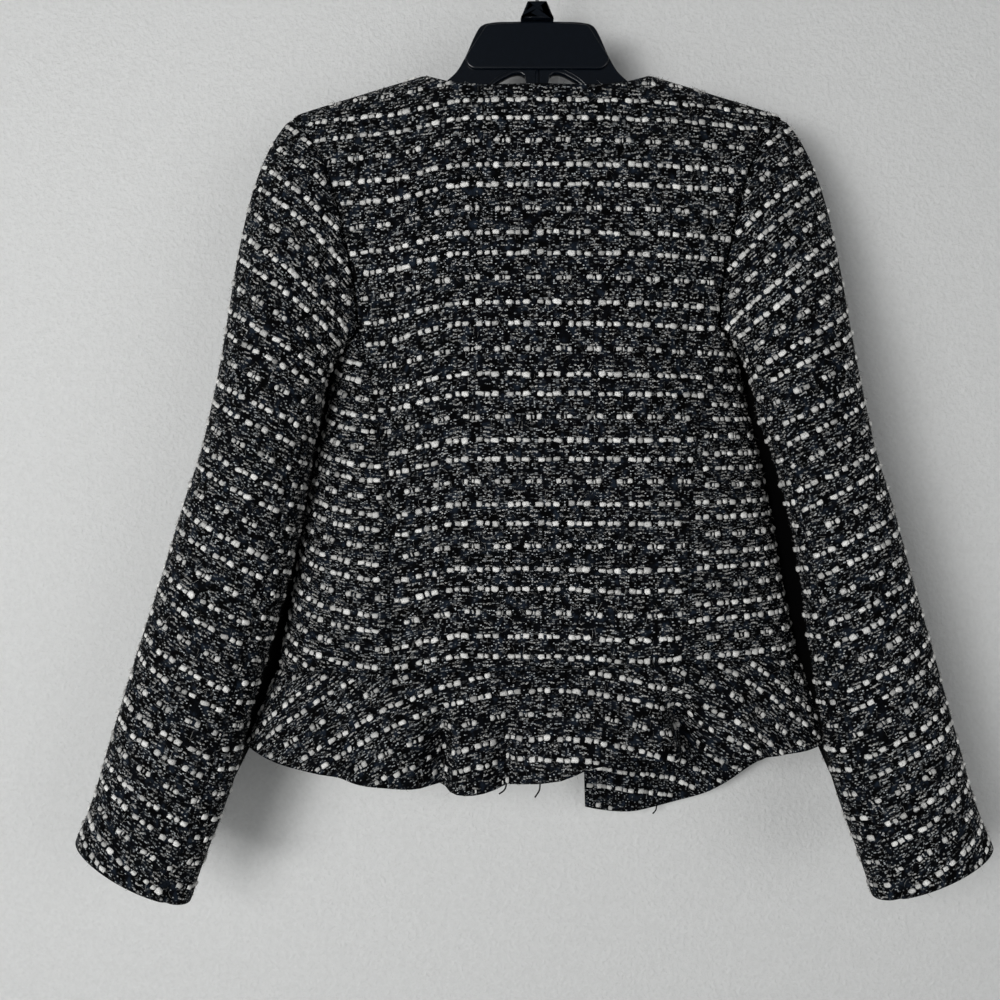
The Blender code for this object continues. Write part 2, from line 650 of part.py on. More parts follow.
def arch(centre_x):
    """A round-headed opening, as (x, z) points."""
    rise = ARCH_HALF_WIDTH / 2
    points = [(centre_x + side * ARCH_HALF_WIDTH, ARCH_BOTTOM_Z) for side in (LEFT, RIGHT)]
    for step in range(ARCH_STEPS + 1):
        angle = math.pi * step / ARCH_STEPS
        across, up = ARCH_HALF_WIDTH * math.cos(angle), rise * math.sin(angle)
        points.append((centre_x + across, ARCH_TOP_Z - rise + up))
    return np.array(points)


def joined(target, tool, operation):
    """Adds a Boolean to an object, with a hidden tool."""
    tool.hide_render = True
    tool.display_type = "WIRE"
    boolean = target.modifiers.new(tool.name, "BOOLEAN")
    boolean.object = tool
    boolean.operation = operation


def add_hanger(parent, plastic):
    """The hanger's body: two arms and a raised centre plate over two arched openings."""
    body = add_mesh("hanger_body", *hanger_mesh(), plastic, parent)
    plate_depth = HANGER_THICKNESS / 2 + PLATE_RISE
    plate = add_mesh("plate_form", *prism(plate_outline(), plate_depth), plastic, parent)
    joined(body, plate, "UNION")
    for side, name in ((LEFT, "arch_form_left"), (RIGHT, "arch_form_right")):
        opening = add_mesh(name, *prism(arch(side * ARCH_X), HANGER_THICKNESS), plastic, parent)
        joined(body, opening, "DIFFERENCE")


def add_size_cap(parent, plastic):
    """The bare tapered cap that sits on the hanger round the hook's stem."""
    bottom = HANGER_TOP[0][1] + CAP_GAP
    outline = (
        (-CAP_HALF_BOTTOM, bottom), (CAP_HALF_BOTTOM, bottom),
        (CAP_HALF_TOP, bottom + CAP_HEIGHT), (-CAP_HALF_TOP, bottom + CAP_HEIGHT),
    )
    cap = add_mesh("hanger_size_cap", *prism(outline, CAP_DEPTH / 2), plastic, parent)
    sides = STEM_HOLE_SIDES
    turns = np.arange(sides) * 2 * math.pi / sides
    radius = (WIRE_RADIUS + CAP_GAP) / math.cos(math.pi / sides)
    x, y = radius * np.cos(turns), radius * np.sin(turns)
    heights = (bottom - CAP_HEIGHT, bottom + 2 * CAP_HEIGHT)
    ends = [np.column_stack([x, y, np.full(sides, z)]) for z in heights]
    number = np.arange(sides)
    after = np.roll(number, -1)
    walls = np.stack([number, after, after + sides, number + sides], axis=-1)
    faces = [tuple(number[::-1]), tuple(number + sides), *map(tuple, walls)]
    joined(cap, add_mesh("stem_hole_form", np.concatenate(ends), faces, plastic, parent), "DIFFERENCE")


def add_hook(parent, metal):
    """The wire hook: a stem on the hanger that turns into a round hook about the rail."""
    centre_z = WIRE_RADIUS - HOOK_RADIUS
    angles = np.linspace(HOOK_TURN_ANGLE, HOOK_TIP_ANGLE, HOOK_POINTS)
    bow = np.column_stack([HOOK_RADIUS * np.cos(angles), centre_z + HOOK_RADIUS * np.sin(angles)])
    foot = (0, HANGER_TOP[0][1] + CAP_GAP)
    bend = (HOOK_NECK_BEND_X, HOOK_NECK_Z + HOOK_NECK_BEND_RISE)
    neck = spaced(((0, HOOK_NECK_Z), bend, bow[0]), np.linspace(0, 1, HOOK_NECK_POINTS))
    route = np.concatenate([[foot], neck[:-1], bow])
    curve = bpy.data.curves.new("hanger_hook", "CURVE")
    curve.dimensions = "3D"
    curve.bevel_depth = WIRE_RADIUS
    curve.bevel_resolution = WIRE_ROUNDNESS
    curve.use_fill_caps = True
    spline = curve.splines.new("POLY")
    spline.points.add(len(route) - 1)
    for point, (x, z) in zip(spline.points, route):
        point.co = (x, 0, z, 1)
    curve.materials.append(metal)
    hook = bpy.data.objects.new("hanger_hook", curve)
    hook.parent = parent
    bpy.context.collection.objects.link(hook)


def main():
    for old in list(bpy.data.objects):
        bpy.data.objects.remove(old, do_unlink=True)
    origin = bpy.data.objects.new("origin", None)
    bpy.context.collection.objects.link(origin)

    tweed = material("tweed", TWEED_COLOR, TWEED_ROUGHNESS)
    seams = seam_lines()
    body = body_grids(seams)
    sleeves = {**sleeve_grids(LEFT, seams), **sleeve_grids(RIGHT, seams)}
    peplum = peplum_grids()
    normals = {**upper_normals(body, sleeves), **skin_normals(peplum)}
    for name in body:
        laid_in_waist(normals[name], 0)
    for name in peplum:
        laid_in_waist(normals[name], -1)
    for name, grid in {**body, **sleeves, **peplum}.items():
        add_mesh(name, *panel_mesh(grid, normals[name]), tweed, origin)

    plastic = material("black_plastic", PLASTIC_COLOR, PLASTIC_ROUGHNESS)
    add_hanger(origin, plastic)
    add_size_cap(origin, plastic)
    add_hook(origin, material("steel", STEEL_COLOR, STEEL_ROUGHNESS, metallic=1.0))


main()
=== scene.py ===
"""Looks of the open-front tweed jacket that hangs on a moulded hanger, seen from its back.

Each cloth panel is a thin shell on the form of its solid, with softer folds added. Every
point of a panel knows its place on the flat cloth, called its grain: u along the weft rows
and v down the warp, in metres. The weave's colours and its raised slubs follow the grain.
"""

import math

import bpy
import numpy as np
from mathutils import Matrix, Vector, kdtree

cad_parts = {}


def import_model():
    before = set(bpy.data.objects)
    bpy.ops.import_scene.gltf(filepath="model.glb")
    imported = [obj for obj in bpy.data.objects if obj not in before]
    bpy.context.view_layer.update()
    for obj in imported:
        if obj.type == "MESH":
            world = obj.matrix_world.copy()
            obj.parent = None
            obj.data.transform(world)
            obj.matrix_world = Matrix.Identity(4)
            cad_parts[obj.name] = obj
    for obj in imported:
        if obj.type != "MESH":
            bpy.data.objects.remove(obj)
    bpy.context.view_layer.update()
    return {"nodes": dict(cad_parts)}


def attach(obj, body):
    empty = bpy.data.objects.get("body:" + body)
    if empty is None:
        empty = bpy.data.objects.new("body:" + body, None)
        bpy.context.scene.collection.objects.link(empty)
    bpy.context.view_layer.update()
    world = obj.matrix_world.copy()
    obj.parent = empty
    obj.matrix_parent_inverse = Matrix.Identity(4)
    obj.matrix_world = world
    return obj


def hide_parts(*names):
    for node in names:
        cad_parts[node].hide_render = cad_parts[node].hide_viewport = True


SEED = 7

# Thickness of the cloth, then sides and faces
CLOTH = 0.0022
LEFT, RIGHT = -1, 1
BACK, FRONT = -1, 1
SIDE_NAMES = {LEFT: "left", RIGHT: "right"}

# Neck, shoulders and waist
NECK_X, NECK_Z = 0.091, -0.122
SHOULDER_X, SHOULDER_Z = 0.195, -0.1535
SHOULDER_SLOPE = (NECK_Z - SHOULDER_Z) / (SHOULDER_X - NECK_X)
NECK_SLOPE = 0.10
BACK_NECK_DIP = 0.0170
BACK_NECK_FLATNESS = 4.5
RIDGE_DROP = 0.085
WAIST_Z = -0.586
HANG_TILT = 0.029

# Squareness of the body's sections: rounder above the underarm, flatter backed below it
UPPER_SQUARENESS, LOWER_SQUARENESS = 2.2, 2.8
SQUARE_TOP_Z, SQUARE_FULL_Z = -0.340, -0.430

# Fronts: how far each edge stands from the centre, and where the neckline meets it
FRONT_EDGE_X = 0.038
FRONT_NECK_Z = -0.205
FRONT_NECK_BOW = 0.020

# Sections of the body from the waist up, with the armholes cut into the upper ones
SECTION = ("z", "half_width", "side_y", "back_depth", "front_depth")
SECTIONS = np.array([
    (-0.600, 0.2090, 0.004, 0.0600, 0.0450),
    (-0.530, 0.1960, 0.012, 0.0600, 0.0480),
    (-0.470, 0.1870, 0.018, 0.0610, 0.0500),
    (-0.410, 0.1750, 0.021, 0.0620, 0.0520),
    (-0.352, 0.1640, 0.020, 0.0620, 0.0520),
    (-0.290, 0.1730, 0.014, 0.0600, 0.0500),
    (-0.230, 0.1920, 0.006, 0.0560, 0.0470),
    (-0.170, 0.2060, 0.000, 0.0510, 0.0430),
    (-0.090, 0.2100, 0.000, 0.0480, 0.0400),
])

# Seam lines on the right half, as x and z
UNDERARM_Z = -0.352
PRINCESS_SEAM = (
    (0.1110, WAIST_Z), (0.1140, -0.490), (0.1180, -0.440), (0.1255, -0.390), (0.1405, -0.325),
)
BACK_ARMHOLE = (
    (0.1405, -0.325), (0.1436, -0.288), (0.1503, -0.255), (0.1565, -0.227),
    (0.1660, -0.198), (0.1810, -0.172), (SHOULDER_X, SHOULDER_Z),
)
FRONT_ARMHOLE = (
    (0.1640, UNDERARM_Z), (0.1490, -0.335), (0.1420, -0.300), (0.1450, -0.255),
    (0.1560, -0.210), (0.1780, -0.173), (SHOULDER_X, SHOULDER_Z),
)

# Folds that hang from the underarms down the back; a negative depth is a ridge
FOLD = ("x_top", "z_top", "x_bottom", "z_bottom", "width", "depth")
FOLDS = np.array([
    (-0.140, -0.215, -0.113, -0.510, 0.020, 0.0160),
    (0.118, -0.285, 0.107, -0.420, 0.013, 0.0050),
    (0.138, -0.300, 0.128, -0.370, 0.014, -0.0035),
])

# Sleeve rings from below the armpit to the cuff
RING = ("z", "x", "y", "half_width", "half_depth")
RINGS = np.array([
    (-0.390, 0.2060, -0.030, 0.0450, 0.0430),
    (-0.430, 0.2150, -0.030, 0.0450, 0.0425),
    (-0.470, 0.2245, -0.032, 0.0475, 0.0420),
    (-0.530, 0.2395, -0.034, 0.0490, 0.0410),
    (-0.590, 0.2560, -0.036, 0.0500, 0.0400),
    (-0.654, 0.2745, -0.038, 0.0495, 0.0380),
    (-0.711, 0.2935, -0.038, 0.0480, 0.0360),
    (-0.742, 0.3050, -0.038, 0.0490, 0.0350),
])

# How each sleeve hangs: how far its cuff swings out, how its end tilts, where its seams lie
CUFF_SWING = {LEFT: 0.005, RIGHT: -0.004}
CUFF_TILT = {LEFT: math.radians(9), RIGHT: math.radians(4)}
CUFF_TILT_START = 0.7
SEAM_TURN, UNDERARM_TURN = math.radians(138), math.radians(218)

# How the sleeve's cap leaves the armhole: its direction outwards, to the back or the front, and
# down, the half depth that the middle value is for, and how far the cap keeps that direction
SLEEVE_LEAVES = (0.72, 0.40, -0.65)
ARMHOLE_HALF_DEPTH = 0.05
CAP_PULL = 0.75

# Peplum: size of its hem ring, inner radius of its flat cut, its length by turn round the body,
# and its waves, broad ones first and then narrow creases
HEM_HALF_WIDTH = 0.231
HEM_SIDE_Y = 0.010
HEM_BACK_DEPTH = 0.070
HEM_FRONT_DEPTH = 0.055
PEPLUM_RADIUS = 0.243
DROP = ("turn", "drop")
DROPS = np.array([
    (-1.92, 0.100), (-1.80, 0.107), (-1.60, 0.100), (-1.30, 0.080), (-1.00, 0.058), (-0.80, 0.060),
    (-0.55, 0.068), (-0.25, 0.081), (0.00, 0.082), (0.018, 0.0785), (0.042, 0.0715), (0.075, 0.069),
    (0.20, 0.069), (0.34, 0.071), (0.55, 0.072), (0.80, 0.068), (1.00, 0.068), (1.30, 0.083),
    (1.51, 0.101), (1.67, 0.126), (1.78, 0.135), (1.86, 0.137), (1.92, 0.136), (1.95, 0.133),
])
WAVE_GROWTH = 1.35
WAVE = ("face", "x", "width", "height", "lean")
WAVES = np.array([
    (BACK, -0.190, 0.022, 0.004, 0.000),
    (BACK, -0.118, 0.030, 0.009, 0.010),
    (BACK, -0.079, 0.013, -0.013, 0.004),
    (BACK, -0.052, 0.016, 0.005, 0.000),
    (BACK, -0.024, 0.014, -0.008, 0.002),
    (BACK, 0.035, 0.034, 0.009, 0.000),
    (BACK, 0.121, 0.020, -0.015, -0.022),
    (BACK, 0.158, 0.018, 0.007, -0.010),
    (BACK, 0.190, 0.012, -0.005, 0.000),
    (FRONT, -0.170, 0.018, -0.006, 0.000),
    (FRONT, -0.125, 0.022, 0.008, 0.000),
    (FRONT, -0.080, 0.016, -0.008, 0.000),
    (FRONT, 0.165, 0.018, -0.006, 0.000),
    (FRONT, 0.120, 0.022, 0.008, 0.000),
    (FRONT, 0.078, 0.016, -0.007, 0.000),
    (BACK, -0.078, 0.008, -0.018, 0.008),
    (BACK, -0.024, 0.008, -0.010, 0.002),
    (BACK, 0.126, 0.013, -0.024, -0.030),
    (BACK, 0.098, 0.011, 0.006, -0.028),
    (BACK, 0.172, 0.008, -0.006, -0.010),
    (BACK, -0.150, 0.010, -0.005, 0.004),
    (BACK, 0.070, 0.010, -0.004, -0.010),
])

# Panel grids: columns and rows of cells, how rows crowd near the shoulder, and how late the
# rows below the neckline start to follow it
NECK_COLUMNS, SHOULDER_COLUMNS = 40, 24
FRONT_NECK_COLUMNS = 22
SIDE_COLUMNS = 18
BODY_ROWS, ARMHOLE_ROWS = 54, 55
UNDER_FRONT_ROWS = 15
CAP_ROWS, TUBE_ROWS = 28, 76
PEPLUM_ROWS = 20
PEPLUM_BACK_COLUMNS, PEPLUM_FRONT_COLUMNS = 140, 56
TOP_CROWDING = 1.2
TOP_HOLD = 3

# Samples along a curve, up the body and along a rim, how a place is kept inside the last of them,
# and the step along a sleeve that gives its direction
CURVE_SAMPLES, HEIGHT_SAMPLES, RIM_SAMPLES = 400, 100, 40
INSIDE_END = 1.001
AXIS_STEP = 0.01

# Edges: how deep a seam sinks and how thick a turned edge swells, over what width, and which
# borders of each panel are sewn: bottom row, top row, first column, last column
SEAM_DIP, SEAM_WIDTH = 0.0017, 0.0032
EDGE_SWELL, EDGE_WIDTH = 0.0008, 0.0060
SEWN = {
    "back_center": (1, 0, 1, 1), "peplum_back": (0, 1, 1, 1),
    "side_back_left": (1, 1, 1, 1), "side_back_right": (1, 1, 1, 1),
    "front_left": (1, 0, 0, 1), "front_right": (1, 0, 1, 0),
    "sleeve_upper_left": (1, 0, 1, 1), "sleeve_upper_right": (1, 0, 1, 1),
    "sleeve_under_left": (1, 0, 1, 1), "sleeve_under_right": (1, 0, 1, 1),
    "peplum_front_left": (0, 1, 0, 1), "peplum_front_right": (0, 1, 1, 0),
}

# Panels whose inside shows the tweed's slubs too
FACED = ("peplum_front_left", "peplum_front_right")

# Weave: one repeat has two rows of slub groups and one row of rings, shifted by half a period;
# the last value is how far right of the centre back a group lies
PERIOD = 0.0228
REPEAT = 0.0504
SECOND_ROW, RING_ROW = 0.0150, 0.0325
GROUP_U = 0.0068

# Heights at the centre back of each repeat's first row
ROW_HEIGHTS = (
    -0.1030, -0.1535, -0.2063, -0.2584, -0.3113, -0.3652, -0.4143, -0.4620, -0.5105, -0.5606,
    -0.6110,
)

# Slubs of a group and of a ring: place along and across the row, length, width, height, tone
PLACE, SIZES, TONE = slice(0, 2), slice(2, 5), 5
GROUP_SLUBS = np.array([
    (-0.0060, 0.0, 0.0052, 0.0039, 0.0014, 0.84),
    (0.0000, 0.0, 0.0041, 0.0034, 0.0012, 0.74),
    (0.0059, 0.0, 0.0055, 0.0040, 0.0015, 0.88),
])
RING_SLUBS = np.array([
    (-0.0040, 0.0, 0.0040, 0.0038, 0.0017, 0.74),
    (0.0000, 0.0, 0.0013, 0.0030, 0.0012, 0.70),
    (0.0040, 0.0, 0.0041, 0.0039, 0.0017, 0.78),
])

# Grey floats between the rows, each a short chain of beads: place in the repeat, tone
FLOAT = ("u", "v", "tone")
FLOATS = np.array([
    (PERIOD / 2, 0.0047, 0.46),
    (PERIOD / 2, 0.0092, 0.50),
    (0.0, 0.0192, 0.30),
    (0.0, 0.0220, 0.50),
    (0.0, 0.0262, 0.32),
    (PERIOD / 2, 0.0292, 0.44),
    (PERIOD / 2, 0.0358, 0.44),
    (0.0, 0.0405, 0.32),
    (0.0, 0.0440, 0.48),
    (0.0, 0.0476, 0.38),
])
FLOAT_BEADS = (-0.0026, -0.0009, 0.0009, 0.0026)
BEAD_LENGTH, BEAD_WIDTH, BEAD_HEIGHT = 0.0022, 0.0013, 0.0009
BEAD_LOST = 0.22

# Domes of slubs and of beads: sides, rings from foot to crown in degrees, and how square they are;
# then how far they stay inside a panel's borders
SLUB_DOME = {"sides": 12, "latitudes": (-30, 12, 46), "square": 3.6}
BEAD_DOME = {"sides": 6, "latitudes": (-20, 35), "square": 2.0}
SLUB_MARGIN, BEAD_MARGIN = 0.0024, 0.0012

# Spread of places, sizes, tones, turns and shapes from one slub to the next
PLACE_SPREAD = 0.00035
SIZE_SPREAD, SIZE_LIMITS = 0.11, (0.7, 1.35)
TONE_SPREAD, TONE_LIMITS = 0.20, (0.5, 1.2)
TURN_SPREAD = math.radians(7)
SHAPE_SPREAD = 0.10

# Fibres that stand out of the cloth: number on a square metre, sizes, tones, and how far along
# it, out of it and aside their middles and tips lie, as shares of their length
FUZZ_PER_AREA = 24000
FUZZ_LENGTH, FUZZ_WIDTH = (0.0025, 0.0080), 0.00018
FUZZ_TONES = (0.03, 0.45)
FUZZ_MIDDLE, FUZZ_TIP = (0.42, 0.30), (0.80, 0.34, 0.12)
FUZZ_FACES = np.array([(0, 1, 2), (0, 2, 3), (3, 2, 4)])

# Search for a place of the flat cloth on a panel: steps, cells in the longest one, error allowed
PLACE_STEPS, PLACE_STRIDE, PLACE_ERROR = 6, 2, 0.0004
TINY = 1e-12

# How the rows droop across the back: at its left, and at its right towards the waist
DROOP_LEFT, DROOP_LEFT_START, DROOP_LEFT_END = 0.0098, -0.055, -0.118
DROOP_RIGHT, DROOP_RIGHT_X, DROOP_RIGHT_WIDTH = 0.0045, 0.075, 0.040
DROOP_RIGHT_TOP_Z, DROOP_RIGHT_FULL_Z = -0.450, -0.600

# Slope of the rows round a sleeve, on its upper and its under panel, and how much steeper they
# get over the length of its head
UPPER_SLOPE, UNDER_SLOPE = 0.23, 0.05
HEAD_SLOPE, HEAD_LENGTH = 0.10, 0.16

# How much closer the rows lie on the side backs, and how they rise towards the outer edges
SIDE_CROWDING = 1.29
SIDE_RISE = {LEFT: 3.0, RIGHT: 0.6}

# The dark gap between a sleeve and the body, by fractions of the sleeve's way down: how far the
# sleeve's inner side stands clear, and how far its inner front folds towards the body
GAP = ("down", "clear_left", "clear_right", "fold_left", "fold_right")
GAPS = np.array([
    (0.000, 0.008, 0.008, 0.018, 0.018),
    (0.030, 0.008, 0.010, 0.019, 0.019),
    (0.150, 0.006, 0.015, 0.019, 0.019),
    (0.280, 0.005, 0.017, 0.021, 0.019),
    (0.455, 0.005, 0.011, 0.030, 0.026),
    (0.600, 0.005, 0.006, 0.032, 0.029),
    (0.750, 0.001, 0.001, 0.024, 0.022),
    (1.000, 0.000, 0.000, 0.000, 0.000),
])
CLEAR_TURN, CLEAR_SPREAD = math.radians(180), math.radians(42)
INNER_TURN, INNER_SPREAD = math.radians(250), math.radians(28)

# The part of a sleeve in that gap where shade is painted: its cloth turns to the blackest ground
# without flecks, and no slubs, beads or fibres lie on it; its first and last turn, and how far down it
# goes
PAINTED_SHADE_START = {LEFT: math.radians(190), RIGHT: math.radians(178)}
PAINTED_SHADE_END_TURN = math.radians(238)
PAINTED_SHADE_END = 0.80

# Hanger's body: its top line from the centre outwards as x and z, its arms, how far they lie
# inside the cloth's outer skin, and its rounded edges
HANGER_TOP = np.array([
    (0.0000, -0.0769), (0.0200, -0.0772), (0.0370, -0.0781), (0.0425, -0.0794), (0.0462, -0.0822),
    (0.0490, -0.0870), (0.0574, -0.1055), (0.0625, -0.1145), (0.0705, -0.1230), (0.0800, -0.1290),
])
HANGER_HALF_DEPTH = 0.0035
HANGER_ARM_HEIGHT = 0.018
HANGER_SEAT = CLOTH + 0.0012
HANGER_NECK_DIP, HANGER_DIP_END_X = 0.0042, 0.122
HANGER_BOTTOM_Z = -0.150
HANGER_ROUND, HANGER_FLANK = 0.0020, 0.0006
ROUND_STEPS = 5

# Where the body's sections lie on each side: start, end and number of each run of them
HANGER_STATIONS = (
    (0.0000, 0.0085, 6), (0.0087, 0.0140, 12), (0.0145, 0.0440, 32), (0.0441, 0.0850, 60),
    (0.0860, 0.1838, 40),
)

# Leaf-shaped openings under the plate: their heads from the post outwards as x and z, the bar
# below them, the rim above them from one of those points on, and the rib on the post
LEAF = np.array([
    (0.0086, -0.1300), (0.0092, -0.1245), (0.0112, -0.1208), (0.0146, -0.1193), (0.0200, -0.1201),
    (0.0265, -0.1232), (0.0350, -0.1287), (0.0430, -0.1375),
])
SILL_TOP_Z = -0.138
LEAF_RIM_START, LEAF_RIM_RISE, LEAF_RIM_RADIUS = 3, 0.0044, 0.0008
POST_RIB_RADIUS, POST_RIB_TOP_Z = 0.0017, -0.1160

# Raised plate and size cap: half widths and heights of their feet and tops, corner radii, the
# rise of the plate's top line, and the rings of their rounded edges as inset and depth
PLATE = {
    "foot": (0.0570, -0.1163), "top": (0.0430, -0.0804), "corners": (0.0080, 0.0062), "arch": 0.0014,
}
CAP = {"foot": (0.0132, -0.0763), "top": (0.0078, -0.0622), "corners": (0.0004, 0.0009), "arch": 0.0}
PLATE_EDGE = (
    (0.0, 0.0030), (0.0, 0.0050), (0.0003, 0.0056), (0.0009, 0.0060), (0.0016, 0.0061),
    (0.0024, 0.0061),
)
CAP_EDGE = ((0.0, 0.0052), (0.0002, 0.0057), (0.0006, 0.0060), (0.0012, 0.0060), (0.0020, 0.0060))
CORNER_STEPS, TOP_STEPS = 8, 14

# Loose yarns that hang from the hem: panel, place along it, then middle and tip from there
LOOSE_YARNS = (
    ("peplum_back", -0.0277, (-0.0016, -0.0010, -0.0040), (-0.0059, -0.0016, -0.0072)),
    ("peplum_back", 0.0033, (-0.0006, -0.0008, -0.0042), (-0.0039, -0.0014, -0.0094)),
    ("peplum_front_right", 0.1056, (-0.0008, -0.0006, -0.0040), (-0.0036, -0.0010, -0.0074)),
)
YARN_ROOT = (0, 0, 0.001)
YARN_RADIUS, YARN_POINTS, YARN_TONE = 0.0006, 9, 0.02

# Tubes: sides, and a direction that none of them runs along
TUBE_SIDES = 8
TUBE_SIDEWAYS = (0.3, 0.9, 0.3)

# Ground of the cloth by its noise, from black to navy, and its flecks: size along and across the
# row, share of the cells, darkest and lightest tone, and where in the noise they lie
GROUND = (
    (0.40, (0.0003, 0.0003, 0.0004)), (0.55, (0.0018, 0.0023, 0.0034)),
    (0.70, (0.0090, 0.0135, 0.0210)),
)
FLECKS = (
    {"size": (0.0032, 0.0012), "share": 0.15, "dark": 0.012, "light": 0.32, "seed": 0.0},
    {"size": (0.0016, 0.0011), "share": 0.19, "dark": 0.012, "light": 0.52, "seed": 3.7},
)
FLECK_TINT = (0.92, 0.97, 1.0)
FLECK_SCATTER = 0.8
FLECK_EDGE = {"From Min": 0.52, "From Max": 0.30}
FLECK_MIDDLE, FLECK_MIDDLE_SHARE = 0.6, 0.4
PATCH_NOISE, YARN_NOISE = {"Scale": 120.0, "Detail": 2.0}, {"Scale": 900.0, "Detail": 2.0}
TWEED_RELIEF = (0.0006, 0.8)
TWEED_SURFACE = {"Roughness": 0.9, "Specular IOR Level": 0.05}

# Wool of the slubs by its noise
WOOL = (
    (0.36, (0.22, 0.22, 0.21)), (0.50, (0.82, 0.815, 0.79)), (0.66, (0.98, 0.975, 0.955)),
)
WOOL_NOISE = {"Scale": 700.0, "Detail": 3.0, "Roughness": 0.6}
WOOL_RELIEF = (0.0006, 0.7)
WOOL_SURFACE = {"Roughness": 0.9, "Specular IOR Level": 0.2}

# Plain finishes: noise, colours by it, distance and strength of its relief, and surface
FINISHES = {
    "black_plastic": {
        "noise": {"Scale": 700.0, "Detail": 2.0}, "relief": (0.0001, 0.35),
        "colors": ((0.35, (0.0012, 0.0026, 0.0050)), (0.65, (0.0022, 0.0040, 0.0072))),
        "surface": {"Roughness": 0.24, "Specular IOR Level": 0.3},
    },
    "plated_steel": {
        "noise": {"Scale": 260.0, "Detail": 4.0}, "relief": None,
        "colors": ((0.35, (0.55, 0.55, 0.56)), (0.65, (0.68, 0.68, 0.68))),
        "surface": {"Metallic": 1.0, "Roughness": 0.22},
    },
    "pale_paint": {
        "noise": {"Scale": 330.0, "Detail": 2.0}, "relief": (0.0014, 0.7),
        "colors": ((0.3, (0.58, 0.585, 0.58)), (0.7, (0.62, 0.625, 0.62))),
        "surface": {"Roughness": 0.7},
    },
}

# Wall, floor and lights
WALL_Y, FLOOR_Z, STAGE_HALF = 0.068, -1.05, 3.0
LIGHTS = {
    "lamp": {"place": (-0.74, -1.72, -0.36), "size": 0.62, "power": 17.2},
    "window": {"place": (-1.95, -3.00, -1.00), "size": 1.20, "power": 62.0},
    "fill": {"place": (1.60, -2.00, -0.50), "size": 1.50, "power": 12.5},
}
LIGHT_AIM = (0.0, 0.0, -0.42)
AMBIENT = (0.80, 0.81, 0.83)
AMBIENT_STRENGTH = 0.16

# Camera, 0.8 m of the hanger's plane in its square picture
CAMERA_PLACE = (-0.0296, -0.900, -0.459)
CAMERA_LENS, CAMERA_SENSOR = 40.5, 36.0


def hermite(t, first, leaves, last, arrives, width=1):
    """A smooth curve from one value to another, with its slopes there, at a fraction of a width."""
    start = (1 + 2 * t) * (1 - t) ** 2 * first + t * (1 - t) ** 2 * width * leaves
    end = t * t * (3 - 2 * t) * last + t * t * (t - 1) * width * arrives
    return start + end


def smooth(at, knots, values):
    """Values at points between knots, along a smooth curve through them."""
    at = np.asarray(at, float)
    slopes = np.gradient(values, knots)
    index = np.clip(np.searchsorted(knots, at) - 1, 0, len(knots) - 2)
    width = knots[index + 1] - knots[index]
    t = np.clip((at - knots[index]) / width, 0, 1)
    return hermite(t, values[index], slopes[index], values[index + 1], slopes[index + 1], width)


def stacked(*parts):
    """Parts of equal or single size side by side, as the last axis."""
    return np.stack(np.broadcast_arrays(*parts), axis=-1)


def unit(vectors):
    """The same directions with a length of 1."""
    return vectors / np.maximum(np.linalg.norm(vectors, axis=-1, keepdims=True), TINY)


def column(table, names, name):
    """One named column of a table."""
    return table[:, names.index(name)]


def named_rows(table, names):
    """Rows of a table, each with its values by name."""
    return [dict(zip(names, row)) for row in table]


def ease(t):
    """0 to 1 with soft ends."""
    t = np.clip(t, 0, 1)
    return t * t * (3 - 2 * t)


def bump(distance, width):
    """A soft bump of height 1."""
    return np.exp(-((distance / width) ** 2))


def spaced(points, fractions):
    """Points at fractions of the length of a smooth curve through points."""
    points = np.asarray(points, float)
    steps = np.arange(len(points), dtype=float)
    fine = np.linspace(0, len(points) - 1, CURVE_SAMPLES)
    curve = np.stack([smooth(fine, steps, values) for values in points.T], axis=-1)
    length = run_length(curve)
    wanted = np.asarray(fractions) * length[-1]
    return np.stack([np.interp(wanted, length, values) for values in curve.T], axis=-1)


def run_length(points):
    """Length along the first axis of a line or a bundle of lines of points."""
    steps = np.linalg.norm(np.diff(points, axis=0), axis=-1)
    return np.concatenate([np.zeros((1, *steps.shape[1:])), np.cumsum(steps, axis=0)])


def section(name, z):
    """A size of the body's section at a height."""
    return smooth(z, column(SECTIONS, SECTION, "z"), column(SECTIONS, SECTION, name))


def squareness(z):
    """How square the body's section is at a height."""
    lower = ease((SQUARE_TOP_Z - z) / (SQUARE_TOP_Z - SQUARE_FULL_Z))
    return UPPER_SQUARENESS + (LOWER_SQUARENESS - UPPER_SQUARENESS) * lower


def rounded_square(angle, square):
    """How far across and how far out a rounded square of half size 1 reaches at an angle."""
    power = 2 / square
    return np.sign(angle) * np.abs(np.sin(angle)) ** power, np.abs(np.cos(angle)) ** power


def shoulder_line(x):
    """Height of the shoulder seam, carried on over the neck."""
    out = np.abs(x) - NECK_X
    return NECK_Z - np.where(out > 0, SHOULDER_SLOPE, NECK_SLOPE) * out


def ridge(x, z):
    """How far the cloth has spread from the shoulder seam: 0 on it, 1 well below."""
    fall = np.clip((shoulder_line(x) - z) / RIDGE_DROP, 0, 1)
    return np.sqrt(1 - (1 - fall) ** 2)


def fold_depth(x, z):
    """How far the folds push the back towards the front."""
    depth = np.zeros(np.broadcast(x, z).shape)
    for fold in named_rows(FOLDS, FOLD):
        along = (fold["z_top"] - z) / (fold["z_top"] - fold["z_bottom"])
        line = fold["x_top"] + (fold["x_bottom"] - fold["x_top"]) * along
        fade = np.sin(math.pi * np.clip(along, 0, 1)) ** 2
        depth += fold["depth"] * fade * bump(x - line, fold["width"])
    return depth


def hang(x, z):
    """Height after the jacket sags to its left, more towards the waist."""
    return z + HANG_TILT * x * ease((SHOULDER_Z - z) / (SHOULDER_Z - WAIST_Z))


